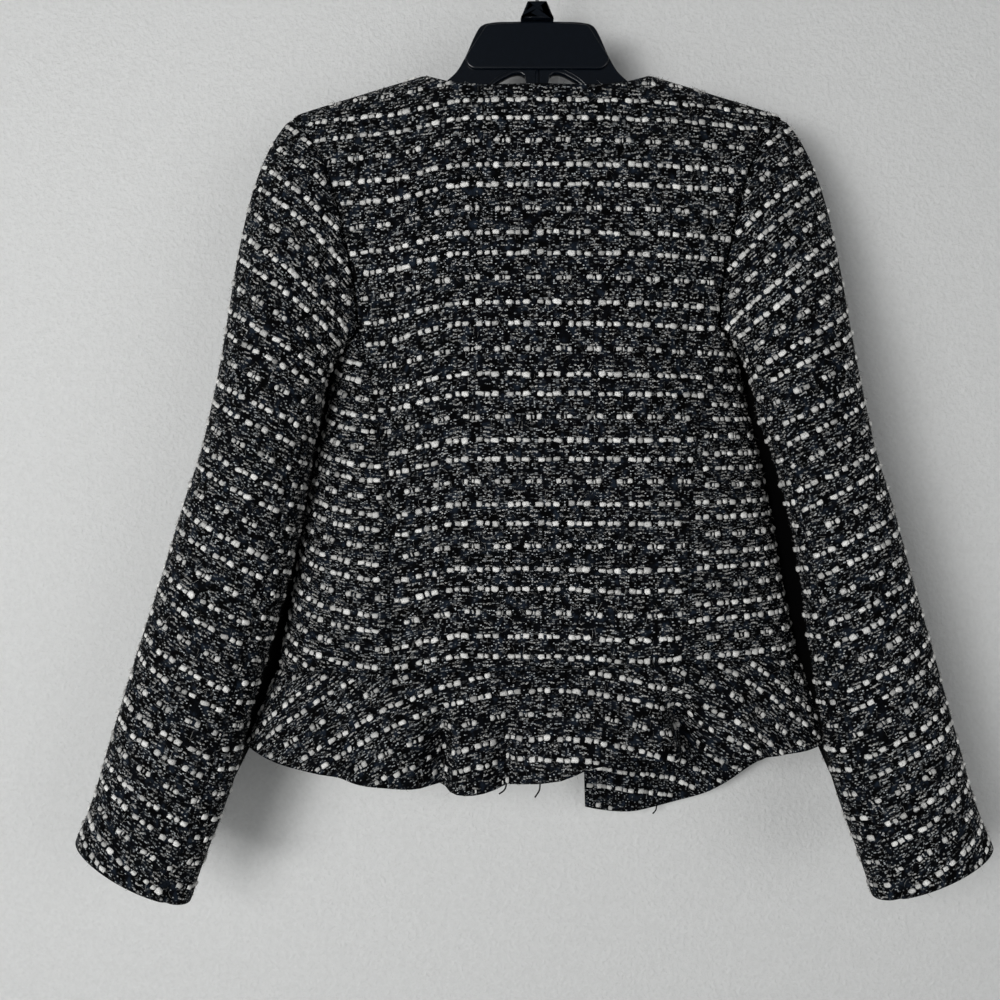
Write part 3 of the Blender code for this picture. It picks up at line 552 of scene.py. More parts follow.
def body_point(turn, z):
    """Outer skin at a turn round the body (0 centre back, 1 side, 2 centre front) and height."""
    turn, z = np.broadcast_arrays(np.asarray(turn, float), np.asarray(z, float))
    angle = turn * math.pi / 2
    across, out = rounded_square(angle, squareness(z))
    x = section("half_width", z) * across
    side = section("side_y", z)
    out = out * ridge(x, z)
    back = side - (section("back_depth", z) + side) * out + fold_depth(x, z)
    front = side + (section("front_depth", z) - side) * out
    y = np.where(np.cos(angle) >= 0, back, front)
    return stacked(x, y, hang(x, z))


def turn_at(x, z, face):
    """Turn round the body of a point at x and z on the back or the front."""
    across = np.clip(np.abs(x) / section("half_width", z), 0, 1) ** (squareness(z) / 2)
    turn = np.arcsin(across) * 2 / math.pi
    return np.sign(x) * np.where(face == BACK, turn, 2 - turn)


def in_turns(points, face):
    """A line of (x, z) as (turn, z)."""
    points = np.asarray(points, float)
    return stacked(turn_at(points[:, 0], points[:, 1], face), points[:, 1])


def mirrored(line):
    """The same line of (turn, z) on the left half."""
    return line * (-1, 1)


def patch(bottom, top, start, end):
    """Grid of (turn, z) inside four border lines, with rows from bottom to top."""
    across = np.linspace(0, 1, len(bottom))[None, :, None]
    up = np.linspace(0, 1, len(start))[:, None, None] ** TOP_HOLD
    low = bottom - ((1 - across) * bottom[0] + across * bottom[-1])
    high = top - ((1 - across) * top[0] + across * top[-1])
    grid = (1 - across) * start[:, None] + across * end[:, None] + (1 - up) * low + up * high
    grid[:, 0], grid[:, -1] = start, end
    grid[0], grid[-1] = bottom, top
    return grid


def row_steps():
    """Fractions of the way up of the rows below the underarm and of those above it."""
    even = np.linspace(0, 1, BODY_ROWS + 1)
    crowded = 1 - (1 - ease(np.linspace(0, 1, ARMHOLE_ROWS + 1))) ** TOP_CROWDING
    return even, crowded


def seam_lines():
    """The right half's seams as (turn, z) lines, with one point for each row or column."""
    even, crowded = row_steps()
    princess = in_turns(spaced(PRINCESS_SEAM, even), BACK)
    back_armhole = in_turns(spaced(BACK_ARMHOLE, crowded), BACK)
    front_armhole = in_turns(spaced(FRONT_ARMHOLE, crowded), FRONT)
    front_armhole[0, 0] = 1
    side = stacked(1.0, WAIST_Z + (UNDERARM_Z - WAIST_Z) * even)
    along = np.linspace(0, 1, SIDE_COLUMNS + 1)
    corner_turn, corner_z = princess[-1]
    turn = corner_turn + (1 - corner_turn) * along
    z = corner_z + (UNDERARM_Z - corner_z) * np.sin(along * math.pi / 2)
    return {
        "princess": princess, "back_armhole": back_armhole, "front_armhole": front_armhole,
        "side": side, "underarm": stacked(turn, z),
    }


def waist_line(start, end, columns):
    """The waist seam between two turns."""
    return stacked(np.linspace(start, end, columns + 1), WAIST_Z)


def shoulder_top(face):
    """The right shoulder seam from its outer end to the neck, as (turn, z)."""
    x = np.linspace(SHOULDER_X, NECK_X, SHOULDER_COLUMNS + 1)
    return in_turns(stacked(x, shoulder_line(x)), face)


def back_neck():
    """The back neckline from its left to its right end, as (turn, z)."""
    x = np.linspace(-NECK_X, NECK_X, NECK_COLUMNS + 1)
    z = NECK_Z - BACK_NECK_DIP * (1 - np.abs(x / NECK_X) ** BACK_NECK_FLATNESS)
    return in_turns(stacked(x, z), BACK)


def front_neck():
    """The right front neckline from the shoulder down to the front edge, as (turn, z)."""
    t = np.linspace(0, 1, FRONT_NECK_COLUMNS + 1)
    x = NECK_X + (FRONT_EDGE_X - NECK_X) * t + FRONT_NECK_BOW * np.sin(math.pi * t) * (1 - t)
    z = NECK_Z + (FRONT_NECK_Z - NECK_Z) * t
    return in_turns(stacked(x, z), FRONT)


def body_grids(seams):
    """The body's five panels as grids of (turn, z), by name."""
    edge = np.concatenate([seams["princess"], seams["back_armhole"][1:]])
    shoulder = shoulder_top(BACK)
    top = np.concatenate([mirrored(shoulder), back_neck()[1:-1], shoulder[::-1]])
    waist = waist_line(-edge[0, 0], edge[0, 0], len(top) - 1)
    grids = {"back_center": patch(waist, top, mirrored(edge), edge)}

    waist = waist_line(edge[0, 0], 1, SIDE_COLUMNS)
    side_back = patch(waist, seams["underarm"], seams["princess"], seams["side"])
    grids["side_back_right"] = side_back
    grids["side_back_left"] = mirrored(side_back[:, ::-1])

    top = np.concatenate([shoulder_top(FRONT), front_neck()[1:]])
    outer = np.concatenate([seams["side"], seams["front_armhole"][1:]])
    _, crowded = row_steps()
    above = UNDERARM_Z + (FRONT_NECK_Z - UNDERARM_Z) * crowded[1:]
    edge_z = np.concatenate([seams["side"][:, 1], above])
    inner = in_turns(stacked(FRONT_EDGE_X, edge_z), FRONT)
    front = patch(waist_line(1, inner[0, 0], len(top) - 1), top, outer, inner)
    grids["front_right"] = front
    grids["front_left"] = mirrored(front[:, ::-1])
    return grids


def ring_z(down):
    """Height of the sleeve's axis at a fraction of its way from the first ring to the cuff."""
    z = column(RINGS, RING, "z")
    return z[0] + (z[-1] - z[0]) * np.asarray(down)


def ring(name, down):
    """A size of the sleeve at a fraction of its way from the first ring to the cuff."""
    return smooth(-ring_z(down), -column(RINGS, RING, "z"), column(RINGS, RING, name))


def sleeve_centre(side, down):
    """Centre of the sleeve at a fraction of its way down."""
    x = ring("x", down) + CUFF_SWING[side] * ease(down)
    return stacked(side * x, ring("y", down), ring_z(down))


def sleeve_axis(side, down):
    """Direction in which the sleeve hangs at a fraction of its way down."""
    below = sleeve_centre(side, np.minimum(down + AXIS_STEP, 1))
    return unit(below - sleeve_centre(side, np.maximum(down - AXIS_STEP, 0)))


def gap(name, side, down):
    """A size of the gap between a sleeve and the body at a fraction of the sleeve's way down."""
    values = column(GAPS, GAP, f"{name}_{SIDE_NAMES[side]}")
    return smooth(down, column(GAPS, GAP, "down"), values)


def sleeve_ring(side, turns, down):
    """Points round the sleeve: turn 0 is its outer side, a quarter turn its back."""
    axis = sleeve_axis(side, down)
    tilt = math.atan2(side * axis[0], -axis[2])
    tilt += CUFF_TILT[side] * float(ease((down - CUFF_TILT_START) / (1 - CUFF_TILT_START)))
    outward = np.array([side * math.cos(tilt), 0, math.sin(tilt)])
    out = ring("half_width", down) * np.cos(turns)
    out += gap("clear", side, down) * bump(turns - CLEAR_TURN, CLEAR_SPREAD)
    out -= gap("fold", side, down) * bump(turns - INNER_TURN, INNER_SPREAD)
    across = out[:, None] * outward
    deep = ring("half_depth", down) * np.sin(turns)[:, None] * np.array([0, -1, 0])
    return sleeve_centre(side, down) + across + deep


def armhole_loop(side, seams):
    """Points and turns round an armhole, from the shoulder by the back and underarm to the front."""
    back = seams["back_armhole"][::-1]
    under = seams["underarm"]
    front = seams["front_armhole"]
    line = np.concatenate([back, under[1:], front[1:]]) * (side, 1)
    points = body_point(line[:, 0], line[:, 1])
    length = run_length(points)
    marks = length[[0, len(back) - 1, len(back) + len(under) - 2, -1]]
    turns = np.interp(length, marks, [0, SEAM_TURN, UNDERARM_TURN, 2 * math.pi])
    return points, turns


def sleeve_rows(side, seams):
    """Outer points of a sleeve from the armhole down to the cuff, and the turn of each column."""
    loop, turns = armhole_loop(side, seams)
    first = sleeve_ring(side, turns, 0.0)
    reach = np.linalg.norm(first - loop, axis=1, keepdims=True) * CAP_PULL
    out, spread, fall = SLEEVE_LEAVES
    leaves = stacked(side * out, spread * loop[:, 1] / ARMHOLE_HALF_DEPTH, fall)
    leaves *= reach / np.linalg.norm(leaves, axis=1, keepdims=True)
    arrives = reach * sleeve_axis(side, 0.0)
    rows = [hermite(t, loop, leaves, first, arrives) for t in np.linspace(0, 1, CAP_ROWS + 1)]
    rows += [sleeve_ring(side, turns, down) for down in np.linspace(0, 1, TUBE_ROWS + 1)[1:]]
    return np.array(rows), turns


def sleeve_grain(side, rows, reference, slope):
    """Grain of a sleeve panel: round it from a column, and along it from its first ring."""
    along = run_length(rows)
    along = along - along[CAP_ROWS]
    centre = run_length(sleeve_centre(side, np.linspace(0, 1, TUBE_ROWS + 1)))
    along[CAP_ROWS:] = centre[:, None]
    girth = run_length(rows.transpose(1, 0, 2)).T
    u = girth - girth[:, reference:reference + 1]
    steeper = HEAD_SLOPE * ease(-along / HEAD_LENGTH)
    return stacked(u, along - (slope + steeper) * u)


def sleeve_panels(side, seams):
    """A sleeve's upper and under panels: points, grain and where shade is painted on them, by name."""
    rows, turns = sleeve_rows(side, seams)
    back_seam = ARMHOLE_ROWS
    front_seam = ARMHOLE_ROWS + SIDE_COLUMNS + UNDER_FRONT_ROWS
    upper = np.concatenate([np.arange(front_seam, len(turns)), np.arange(1, back_seam + 1)])
    under = np.arange(back_seam, front_seam + 1)
    middle_back = int(np.argmin(np.abs(turns[upper] - math.pi / 2)))
    # Painted shade: the gap's part of the sleeve is darkened and left without slubs
    in_gap = (turns > PAINTED_SHADE_START[side]) & (turns < PAINTED_SHADE_END_TURN)
    beside_body = np.arange(len(rows)) < CAP_ROWS + PAINTED_SHADE_END * TUBE_ROWS
    painted_shade = in_gap[None] & beside_body[:, None]
    panels = {}
    for kind, chosen, reference, slope in (
        ("upper", upper, middle_back, UPPER_SLOPE), ("under", under, 0, UNDER_SLOPE),
    ):
        points = rows[:, chosen]
        grain = sleeve_grain(side, points, reference, slope)
        order = slice(None, None, side)
        fields = (points, grain, painted_shade[:, chosen])
        panels[f"sleeve_{kind}_{SIDE_NAMES[side]}"] = tuple(field[:, order] for field in fields)
    return panels


def peplum_wave(x, face, down):
    """How far the peplum's waves stand out at x on a face, growing towards the hem."""
    out = np.zeros(x.shape)
    for wave in named_rows(WAVES, WAVE):
        middle = wave["x"] + wave["lean"] * (1 - down)
        out += np.where(face == wave["face"], wave["height"], 0) * bump(x - middle, wave["width"])
    return out * ease(WAVE_GROWTH * down)


def peplum_point(turn, down):
    """Outer skin of the peplum: down is 0 at the waist seam and 1 at the hem."""
    angle = turn * math.pi / 2
    across, out = rounded_square(angle, LOWER_SQUARENESS)
    face = np.where(np.cos(angle) >= 0, BACK, FRONT)
    waist = {name: float(section(name, WAIST_Z)) for name in SECTION[1:]}
    half_width = waist["half_width"] + (HEM_HALF_WIDTH - waist["half_width"]) * down
    side = waist["side_y"] + (HEM_SIDE_Y - waist["side_y"]) * down
    back = waist["back_depth"] + (HEM_BACK_DEPTH - waist["back_depth"]) * down + side
    front = waist["front_depth"] + (HEM_FRONT_DEPTH - waist["front_depth"]) * down - side
    depth = np.where(face == BACK, back, front)
    x = half_width * across
    y = side + face * depth * out
    facing = unit(stacked(across / half_width, face * out / depth))
    wave = peplum_wave(x, face, down)
    x, y = x + facing[..., 0] * wave, y + facing[..., 1] * wave
    z = WAIST_Z - smooth(turn, column(DROPS, DROP, "turn"), column(DROPS, DROP, "drop")) * down
    return stacked(x, y, z + HANG_TILT * x)


def peplum_panels():
    """The peplum's three panels with rows from hem to waist, with no painted shade on any, by name."""
    edge = float(turn_at(FRONT_EDGE_X, WAIST_Z, FRONT))
    spans = {
        "peplum_back": (-1, 1, PEPLUM_BACK_COLUMNS, 0),
        "peplum_front_right": (1, edge, PEPLUM_FRONT_COLUMNS, edge),
        "peplum_front_left": (-edge, -1, PEPLUM_FRONT_COLUMNS, -edge),
    }
    down = np.linspace(1, 0, PEPLUM_ROWS + 1)[:, None]
    panels = {}
    for name, (start, end, columns, straight) in spans.items():
        turn, fall = np.broadcast_arrays(np.linspace(start, end, columns + 1)[None], down)
        points = peplum_point(turn, fall)
        waist = np.full(turn.shape, WAIST_Z)
        waist_run = body_run(turn, waist) - body_run(np.full(turn.shape, straight), waist)
        below = run_length(points[::-1])[::-1]
        angle = waist_run / PEPLUM_RADIUS
        radius = PEPLUM_RADIUS + below
        grain = stacked(radius * np.sin(angle), radius * np.cos(angle) - PEPLUM_RADIUS)
        panels[name] = (points, grain, np.zeros(turn.shape, bool))
    return panels


def body_run(turn, z):
    """Length along the outer skin from the centre back to a turn, at a height."""
    turns = np.linspace(0, 2, CURVE_SAMPLES)
    heights = np.linspace(WAIST_Z, NECK_Z, HEIGHT_SAMPLES)
    length = run_length(body_point(turns[:, None], heights[None]))
    across = np.clip(np.abs(turn) / turns[1], 0, len(turns) - INSIDE_END)
    up = np.clip((z - heights[0]) / (heights[1] - heights[0]), 0, len(heights) - INSIDE_END)
    i, j = across.astype(int), up.astype(int)
    a, b = across - i, up - j
    low = length[i, j] * (1 - a) + length[i + 1, j] * a
    high = length[i, j + 1] * (1 - a) + length[i + 1, j + 1] * a
    return np.sign(turn) * (low * (1 - b) + high * b)


def droop(x, z):
    """How far below their height at the centre back the rows lie."""
    left = DROOP_LEFT * ease((x - DROOP_LEFT_START) / (DROOP_LEFT_END - DROOP_LEFT_START))
    waistward = ease((z - DROOP_RIGHT_TOP_Z) / (DROOP_RIGHT_FULL_Z - DROOP_RIGHT_TOP_Z))
    return left + DROOP_RIGHT * waistward * bump(x - DROOP_RIGHT_X, DROOP_RIGHT_WIDTH)


def body_grain(turn, z, points):
    """Grain of the body's points: round it from the centre back, and down by its rows."""
    level = points[..., 2] + droop(points[..., 0], points[..., 2])
    repeats = np.interp(-level, -np.array(ROW_HEIGHTS), np.arange(len(ROW_HEIGHTS)))
    return stacked(body_run(turn, z) - GROUP_U, REPEAT * repeats)


def all_panels():
    """Every cloth panel: outer points, grain and where shade is painted on it, as grids, by name."""
    seams = seam_lines()
    panels = {}
    for name, grid in body_grids(seams).items():
        points = body_point(grid[..., 0], grid[..., 1])
        grain = body_grain(grid[..., 0], grid[..., 1], points)
        panels[name] = (points, grain, np.zeros(points.shape[:2], bool))
    for side in (LEFT, RIGHT):
        _, grain, _ = panels[f"side_back_{SIDE_NAMES[side]}"]
        outward = np.abs(grain[..., 0]) - np.abs(grain[..., 0]).min()
        grain[..., 1] = SIDE_CROWDING * grain[..., 1] + SIDE_RISE[side] * outward ** 2
        panels.update(sleeve_panels(side, seams))
    panels.update(peplum_panels())
    return panels


def grid_normals(grid):
    """Outward unit normals of a grid of points."""
    down = np.gradient(grid, axis=0)
    across = np.gradient(grid, axis=1)
    return unit(np.cross(across, down))


def border_distances(grid):
    """Distances of a grid's points from its bottom row, top row, first and last column."""
    from_bottom = run_length(grid)
    from_start = run_length(grid.transpose(1, 0, 2)).T
    return from_bottom, from_bottom[-1:] - from_bottom, from_start, from_start[:, -1:] - from_start


def border_relief(grid, sewn):
    """How far the cloth sinks at its seams and swells at its turned edges."""
    relief = np.zeros(grid.shape[:2])
    for distance, is_sewn in zip(border_distances(grid), sewn):
        if is_sewn:
            relief -= SEAM_DIP * bump(distance, SEAM_WIDTH)
        else:
            relief += EDGE_SWELL * bump(distance - EDGE_WIDTH / 2, EDGE_WIDTH / 2)
    return relief


def shell(grid, normals):
    """Points and quads of a thin closed shell: the outer grid, the inner one and a rim."""
    rows, columns = grid.shape[:2]
    number = np.arange(rows * columns).reshape(rows, columns)
    corners = (number[:-1, :-1], number[:-1, 1:], number[1:, 1:], number[1:, :-1])
    quads = stacked(*corners).reshape(-1, 4)
    loop = np.concatenate([number[0, :-1], number[:-1, -1], number[-1, :0:-1], number[:0:-1, 0]])
    after = np.roll(loop, -1)
    shift = rows * columns
    rim = stacked(after, loop, loop + shift, after + shift)
    points = np.concatenate([grid.reshape(-1, 3), (grid - CLOTH * normals).reshape(-1, 3)])
    return points, np.concatenate([quads, quads[:, ::-1] + shift, rim])


def new_object(name, data):
    """An object in the scene with its data."""
    made = bpy.data.objects.new(name, data)
    bpy.context.collection.objects.link(made)
    return made


def mesh_object(name, points, faces, material):
    """A smooth-shaded mesh object from arrays of points and of faces with equal sides."""
    sides = faces.shape[1]
    mesh = bpy.data.meshes.new(name)
    mesh.vertices.add(len(points))
    mesh.vertices.foreach_set("co", np.ascontiguousarray(points, dtype=np.float32).ravel())
    mesh.loops.add(faces.size)
    mesh.loops.foreach_set("vertex_index", np.ascontiguousarray(faces, dtype=np.int32).ravel())
    mesh.polygons.add(len(faces))
    mesh.polygons.foreach_set("loop_start", np.arange(len(faces), dtype=np.int32) * sides)
    mesh.update(calc_edges=True)
    mesh.validate()
    mesh.shade_smooth()
    mesh.materials.append(material)
    return new_object(name, mesh)


def set_grain(mesh, grain):
    """Stores each point's grain as a UV map in metres."""
    layer = mesh.uv_layers.new(name="grain")
    corner = np.empty(len(mesh.loops), dtype=np.int32)
    mesh.loops.foreach_get("vertex_index", corner)
    layer.data.foreach_set("uv", grain[corner].astype(np.float32).ravel())


def set_tones(mesh, tones):
    """Stores each point's tone as a grey colour; on the cloth the tone is painted shade, 0 in a
    sleeve's gap.
    """
    layer = mesh.color_attributes.new("tone", "FLOAT_COLOR", "POINT")
    colors = np.repeat(tones[:, None], 4, axis=1).astype(np.float32)
    layer.data.foreach_set("color", colors.ravel())


def add_many(name, points, faces, tones, material):
    """One mesh of many bodies with the same faces, each with its own points and tone."""
    count, corners = points.shape[:2]
    all_faces = faces[None] + (np.arange(count) * corners)[:, None, None]
    made = mesh_object(name, points.reshape(-1, 3), all_faces.reshape(-1, 3), material)
    set_tones(made.data, np.repeat(tones, corners))
    return made


def blend(field, at):
    """A grid's field at fractional rows and columns, and its changes over a row and a column."""
    rows, columns = field.shape[:2]
    i = np.clip(np.floor(at[:, 0]).astype(int), 0, rows - 2)
    j = np.clip(np.floor(at[:, 1]).astype(int), 0, columns - 2)
    a, b = (at[:, 0] - i)[:, None], (at[:, 1] - j)[:, None]
    low = field[i, j] * (1 - b) + field[i, j + 1] * b
    high = field[i + 1, j] * (1 - b) + field[i + 1, j + 1] * b
    first = field[i, j + 1] - field[i, j]
    last = field[i + 1, j + 1] - field[i + 1, j]
    return low * (1 - a) + high * a, high - low, first * (1 - a) + last * a


def cell_size(down, across):
    """Signed size of the flat cloth in a grid's cell, never quite 0."""
    size = down[:, 0] * across[:, 1] - down[:, 1] * across[:, 0]
    return np.where(np.abs(size) < TINY, TINY, size)


class Weave:
    """A panel's surface as a function of its grain."""

    def __init__(self, grid, grain, normals, painted_shade):
        self.grid, self.grain, self.normals, self.painted_shade = grid, grain, normals, painted_shade
        # No slubs or beads are laid where shade is painted
        self.border = np.where(painted_shade, 0, np.min(border_distances(grid), axis=0))[..., None]
        rows, columns = grain.shape[:2]
        self.tree = kdtree.KDTree(rows * columns)
        for index, (u, v) in enumerate(grain.reshape(-1, 2)):
            self.tree.insert((u, v, 0), index)
        self.tree.balance()

    def nearest_cells(self, places):
        """Row and column of the grid point nearest to each (u, v)."""
        columns = self.grain.shape[1]
        found = np.array([self.tree.find((u, v, 0))[1] for u, v in places])
        return stacked(found // columns, found % columns).astype(float)

    def locate(self, places, margin):
        """Which places of the flat cloth are on the panel, and their points and directions."""
        at = self.nearest_cells(places)
        for _ in range(PLACE_STEPS):
            value, down, across = blend(self.grain, at)
            wrong = places - value
            size = cell_size(down, across)
            step_row = (wrong[:, 0] * across[:, 1] - wrong[:, 1] * across[:, 0]) / size
            step_column = (wrong[:, 1] * down[:, 0] - wrong[:, 0] * down[:, 1]) / size
            at = at + np.clip(stacked(step_row, step_column), -PLACE_STRIDE, PLACE_STRIDE)
            at = np.clip(at, (0, 0), np.array(self.grain.shape[:2]) - 1)
        value, down, across = blend(self.grain, at)
        good = np.linalg.norm(places - value, axis=1) < PLACE_ERROR
        good &= blend(self.border, at)[0][:, 0] > margin
        point, point_down, point_across = blend(self.grid, at)
        normal = unit(blend(self.normals, at)[0])
        size = cell_size(down, across)[:, None]
        along_u = (point_down * across[:, 1:2] - point_across * down[:, 1:2]) / size
        along_u = unit(along_u - normal * np.sum(along_u * normal, axis=1, keepdims=True))
        return good, point, along_u, np.cross(along_u, normal), normal


def dome(sides, latitudes, square):
    """Points and triangles of a unit dome, long in x, wide in y and high in z."""
    around = np.arange(sides) * 2 * math.pi / sides
    x = np.sign(np.cos(around)) * np.abs(np.cos(around)) ** (2 / square)
    y = np.sign(np.sin(around)) * np.abs(np.sin(around)) ** (2 / square)
    points = []
    for latitude in np.radians(latitudes):
        flat, level = math.cos(latitude), math.sin(latitude)
        points.append(stacked(flat * x, flat * y, level))
    points.append(np.array([[0, 0, 1.0]]))
    triangles = []
    for level in range(len(latitudes) - 1):
        for side in range(sides):
            a = level * sides + side
            b = level * sides + (side + 1) % sides
            triangles += [(a, b, b + sides), (a, b + sides, a + sides)]
    top = (len(latitudes) - 1) * sides
    triangles += [(top + side, top + (side + 1) % sides, top + sides) for side in range(sides)]
    return np.concatenate(points), np.array(triangles)


def repeated(table, grain):
    """A table of things in one repeat of the weave, repeated over a panel's grain."""
    low, high = grain.reshape(-1, 2).min(axis=0), grain.reshape(-1, 2).max(axis=0)
    columns = np.arange(math.floor(low[0] / PERIOD) - 1, math.ceil(high[0] / PERIOD) + 2)
    repeats = np.arange(math.floor(low[1] / REPEAT) - 1, math.ceil(high[1] / REPEAT) + 2)
    shifts = stacked(*np.meshgrid(columns * PERIOD, repeats * REPEAT, indexing="ij"))
    shifts = shifts.reshape(-1, 1, 2)
    placed = np.repeat(table[None], len(shifts), axis=0)
    placed[..., PLACE] += shifts
    return placed.reshape(-1, table.shape[1])


def slub_table():
    """Slubs of one repeat: two rows of groups, and a row of rings half a period off."""
    second = GROUP_SLUBS + np.array([0, SECOND_ROW, 0, 0, 0, 0])
    rings = RING_SLUBS + np.array([PERIOD / 2, RING_ROW, 0, 0, 0, 0])
    return np.concatenate([GROUP_SLUBS, second, rings])


def bead_table():
    """Beads of one repeat's floats, as slubs."""
    rows = []
    for chain in named_rows(FLOATS, FLOAT):
        for step in FLOAT_BEADS:
            place = (chain["u"] + step, chain["v"])
            rows.append((*place, BEAD_LENGTH, BEAD_WIDTH, BEAD_HEIGHT, chain["tone"]))
    return np.array(rows)


def add_domes(name, weave, material, random, table, shape, margin, lost=0.0):
    """One mesh of the slubs or beads of a table, laid over a panel."""
    slubs = repeated(table, weave.grain)
    slubs = slubs[random.random(len(slubs)) >= lost]
    count = len(slubs)
    slubs[:, PLACE] += random.normal(0, PLACE_SPREAD, (count, 2))
    slubs[:, SIZES] *= random.normal(1, SIZE_SPREAD, (count, 3)).clip(*SIZE_LIMITS)
    slubs[:, TONE] *= random.normal(1, TONE_SPREAD, count).clip(*TONE_LIMITS)
    good, point, along_u, along_v, normal = weave.locate(slubs[:, PLACE], margin)
    slubs, point = slubs[good], point[good]
    turn = random.normal(0, TURN_SPREAD, len(slubs))[:, None]
    length_way = np.cos(turn) * along_u[good] + np.sin(turn) * along_v[good]
    width_way = np.cos(turn) * along_v[good] - np.sin(turn) * along_u[good]
    length, width, height = slubs[:, SIZES].T[..., None]
    model, triangles = dome(**shape)
    lumps = model * random.normal(1, SHAPE_SPREAD, (len(slubs), len(model), 1))
    points = (
        point[:, None]
        + lumps[..., 0:1] * (length_way * length / 2)[:, None]
        + lumps[..., 1:2] * (width_way * width / 2)[:, None]
        + lumps[..., 2:3] * (normal[good] * height)[:, None]
    )
    return add_many(name, points, triangles, slubs[:, TONE], material)


def new_material(name, surface):
    """A node material with values on its shader, with its node tree and the shader."""
    made = bpy.data.materials.new(name)
    made.use_nodes = True
    tree = made.node_tree
    shader = tree.nodes["Principled BSDF"]
    for key, value in surface.items():
        shader.inputs[key].default_value = value
    return made, tree, shader


def add_node(tree, kind, values=(), **settings):
    """A node with settings on it and values on its inputs."""
    made = tree.nodes.new(kind)
    for key, value in settings.items():
        setattr(made, key, value)
    for key, value in dict(values).items():
        if isinstance(value, bpy.types.NodeSocket):
            tree.links.new(value, made.inputs[key])
        else:
            made.inputs[key].default_value = value
    return made


def calculated(tree, operation, first, second):
    """The result of a sum, a product or a comparison."""
    made = add_node(tree, "ShaderNodeMath", {0: first, 1: second}, operation=operation)
    return made.outputs["Value"]


def noise(tree, **values):
    """The value of a noise."""
    return add_node(tree, "ShaderNodeTexNoise", values).outputs["Fac"]


def ramp(tree, value, stops):
    """Colours by value, through a colour ramp."""
    made = add_node(tree, "ShaderNodeValToRGB", {"Fac": value})
    elements = made.color_ramp.elements
    while len(elements) < len(stops):
        elements.new(1.0)
    for element, (place, color) in zip(elements, stops):
        element.position = place
        element.color = (*color, 1)
    return made.outputs["Color"]


def mixed(tree, share, first, second, **settings):
    """The colour of two colours mixed."""
    values = {"Factor": share, "A": first, "B": second}
    return add_node(tree, "ShaderNodeMix", values, data_type="RGBA", **settings).outputs["Result"]


def add_relief(tree, shader, height, distance, strength):
    """A relief of the surface by a height."""
    values = {"Height": height, "Distance": distance, "Strength": strength}
    relief = add_node(tree, "ShaderNodeBump", values)
    tree.links.new(relief.outputs["Normal"], shader.inputs["Normal"])


def flecks(tree, grain, tone, kind):
    """Soft-edged flecks at scattered places where the tone is light, none in painted shade: their mask
    and their colour.
    """
    along, across = kind["size"]
    place = add_node(tree, "ShaderNodeMapping", {
        "Vector": grain, "Location": (kind["seed"], kind["seed"], 0),
        "Scale": (1 / along, 1 / across, 1),
    }).outputs["Vector"]
    cells = add_node(
        tree, "ShaderNodeTexVoronoi", {"Vector": place, "Scale": 1.0, "Randomness": FLECK_SCATTER},
        voronoi_dimensions="2D", feature="F1",
    ).outputs
    pick = add_node(tree, "ShaderNodeSeparateColor", {"Color": cells["Color"]}).outputs
    body = add_node(
        tree, "ShaderNodeMapRange", {"Value": cells["Distance"], **FLECK_EDGE},
        interpolation_type="SMOOTHSTEP",
    ).outputs["Result"]
    share = calculated(tree, "MULTIPLY", tone, kind["share"])
    there = calculated(tree, "LESS_THAN", pick["Red"], share)
    dark, light = (kind[end] * np.array(FLECK_TINT) for end in ("dark", "light"))
    stops = ((0.0, dark), (FLECK_MIDDLE, FLECK_MIDDLE_SHARE * light), (1.0, light))
    return calculated(tree, "MULTIPLY", body, there), ramp(tree, pick["Green"], stops)


def tweed_material():
    """The ground of the cloth: black and navy yarns with grey flecks, turned to the blackest ground
    without flecks where shade is painted.
    """
    made, tree, shader = new_material("tweed", TWEED_SURFACE)
    grain = add_node(tree, "ShaderNodeUVMap", uv_map="grain").outputs["UV"]
    # The tone is painted shade: 1 on open cloth, 0 in a sleeve's gap, where it darkens the ground and
    # takes out the flecks
    tone = add_node(tree, "ShaderNodeVertexColor", layer_name="tone").outputs["Color"]
    patches = noise(tree, Vector=grain, **PATCH_NOISE)
    color = ramp(tree, calculated(tree, "MULTIPLY", patches, tone), GROUND)
    height = noise(tree, Vector=grain, **YARN_NOISE)
    for kind in FLECKS:
        mask, tint = flecks(tree, grain, tone, kind)
        color = mixed(tree, mask, color, tint)
        height = calculated(tree, "ADD", height, mask)
    tree.links.new(color, shader.inputs["Base Color"])
    add_relief(tree, shader, height, *TWEED_RELIEF)
    return made


def slub_material():
    """Soft off-white wool slubs, each with its own tone."""
    made, tree, shader = new_material("slub_wool", WOOL_SURFACE)
    tone = add_node(tree, "ShaderNodeVertexColor", layer_name="tone").outputs["Color"]
    fibre = noise(tree, **WOOL_NOISE)
    color = mixed(tree, 1.0, ramp(tree, fibre, WOOL), tone, blend_type="MULTIPLY")
    tree.links.new(color, shader.inputs["Base Color"])
    add_relief(tree, shader, fibre, *WOOL_RELIEF)
    return made


def plain_material(name):
    """One of the plain finishes."""
    finish = FINISHES[name]
    made, tree, shader = new_material(name, finish["surface"])
    place = add_node(tree, "ShaderNodeTexCoord").outputs["Object"]
    grain = noise(tree, Vector=place, **finish["noise"])
    tree.links.new(ramp(tree, grain, finish["colors"]), shader.inputs["Base Color"])
    if finish["relief"]:
        add_relief(tree, shader, grain, *finish["relief"])
    return made


def cell_areas(grid):
    """Area of each cell of a grid of points."""
    sides = np.cross(grid[1:, 1:] - grid[:-1, :-1], grid[1:, :-1] - grid[:-1, 1:])
    return np.linalg.norm(sides, axis=-1) / 2


def flat_cut(grid):
    """Width, length and area of the flat cloth that a panel's grid of points takes."""
    bottom, _, start, _ = border_distances(grid)
    return float(start.max()), float(bottom.max()), float(cell_areas(grid).sum())


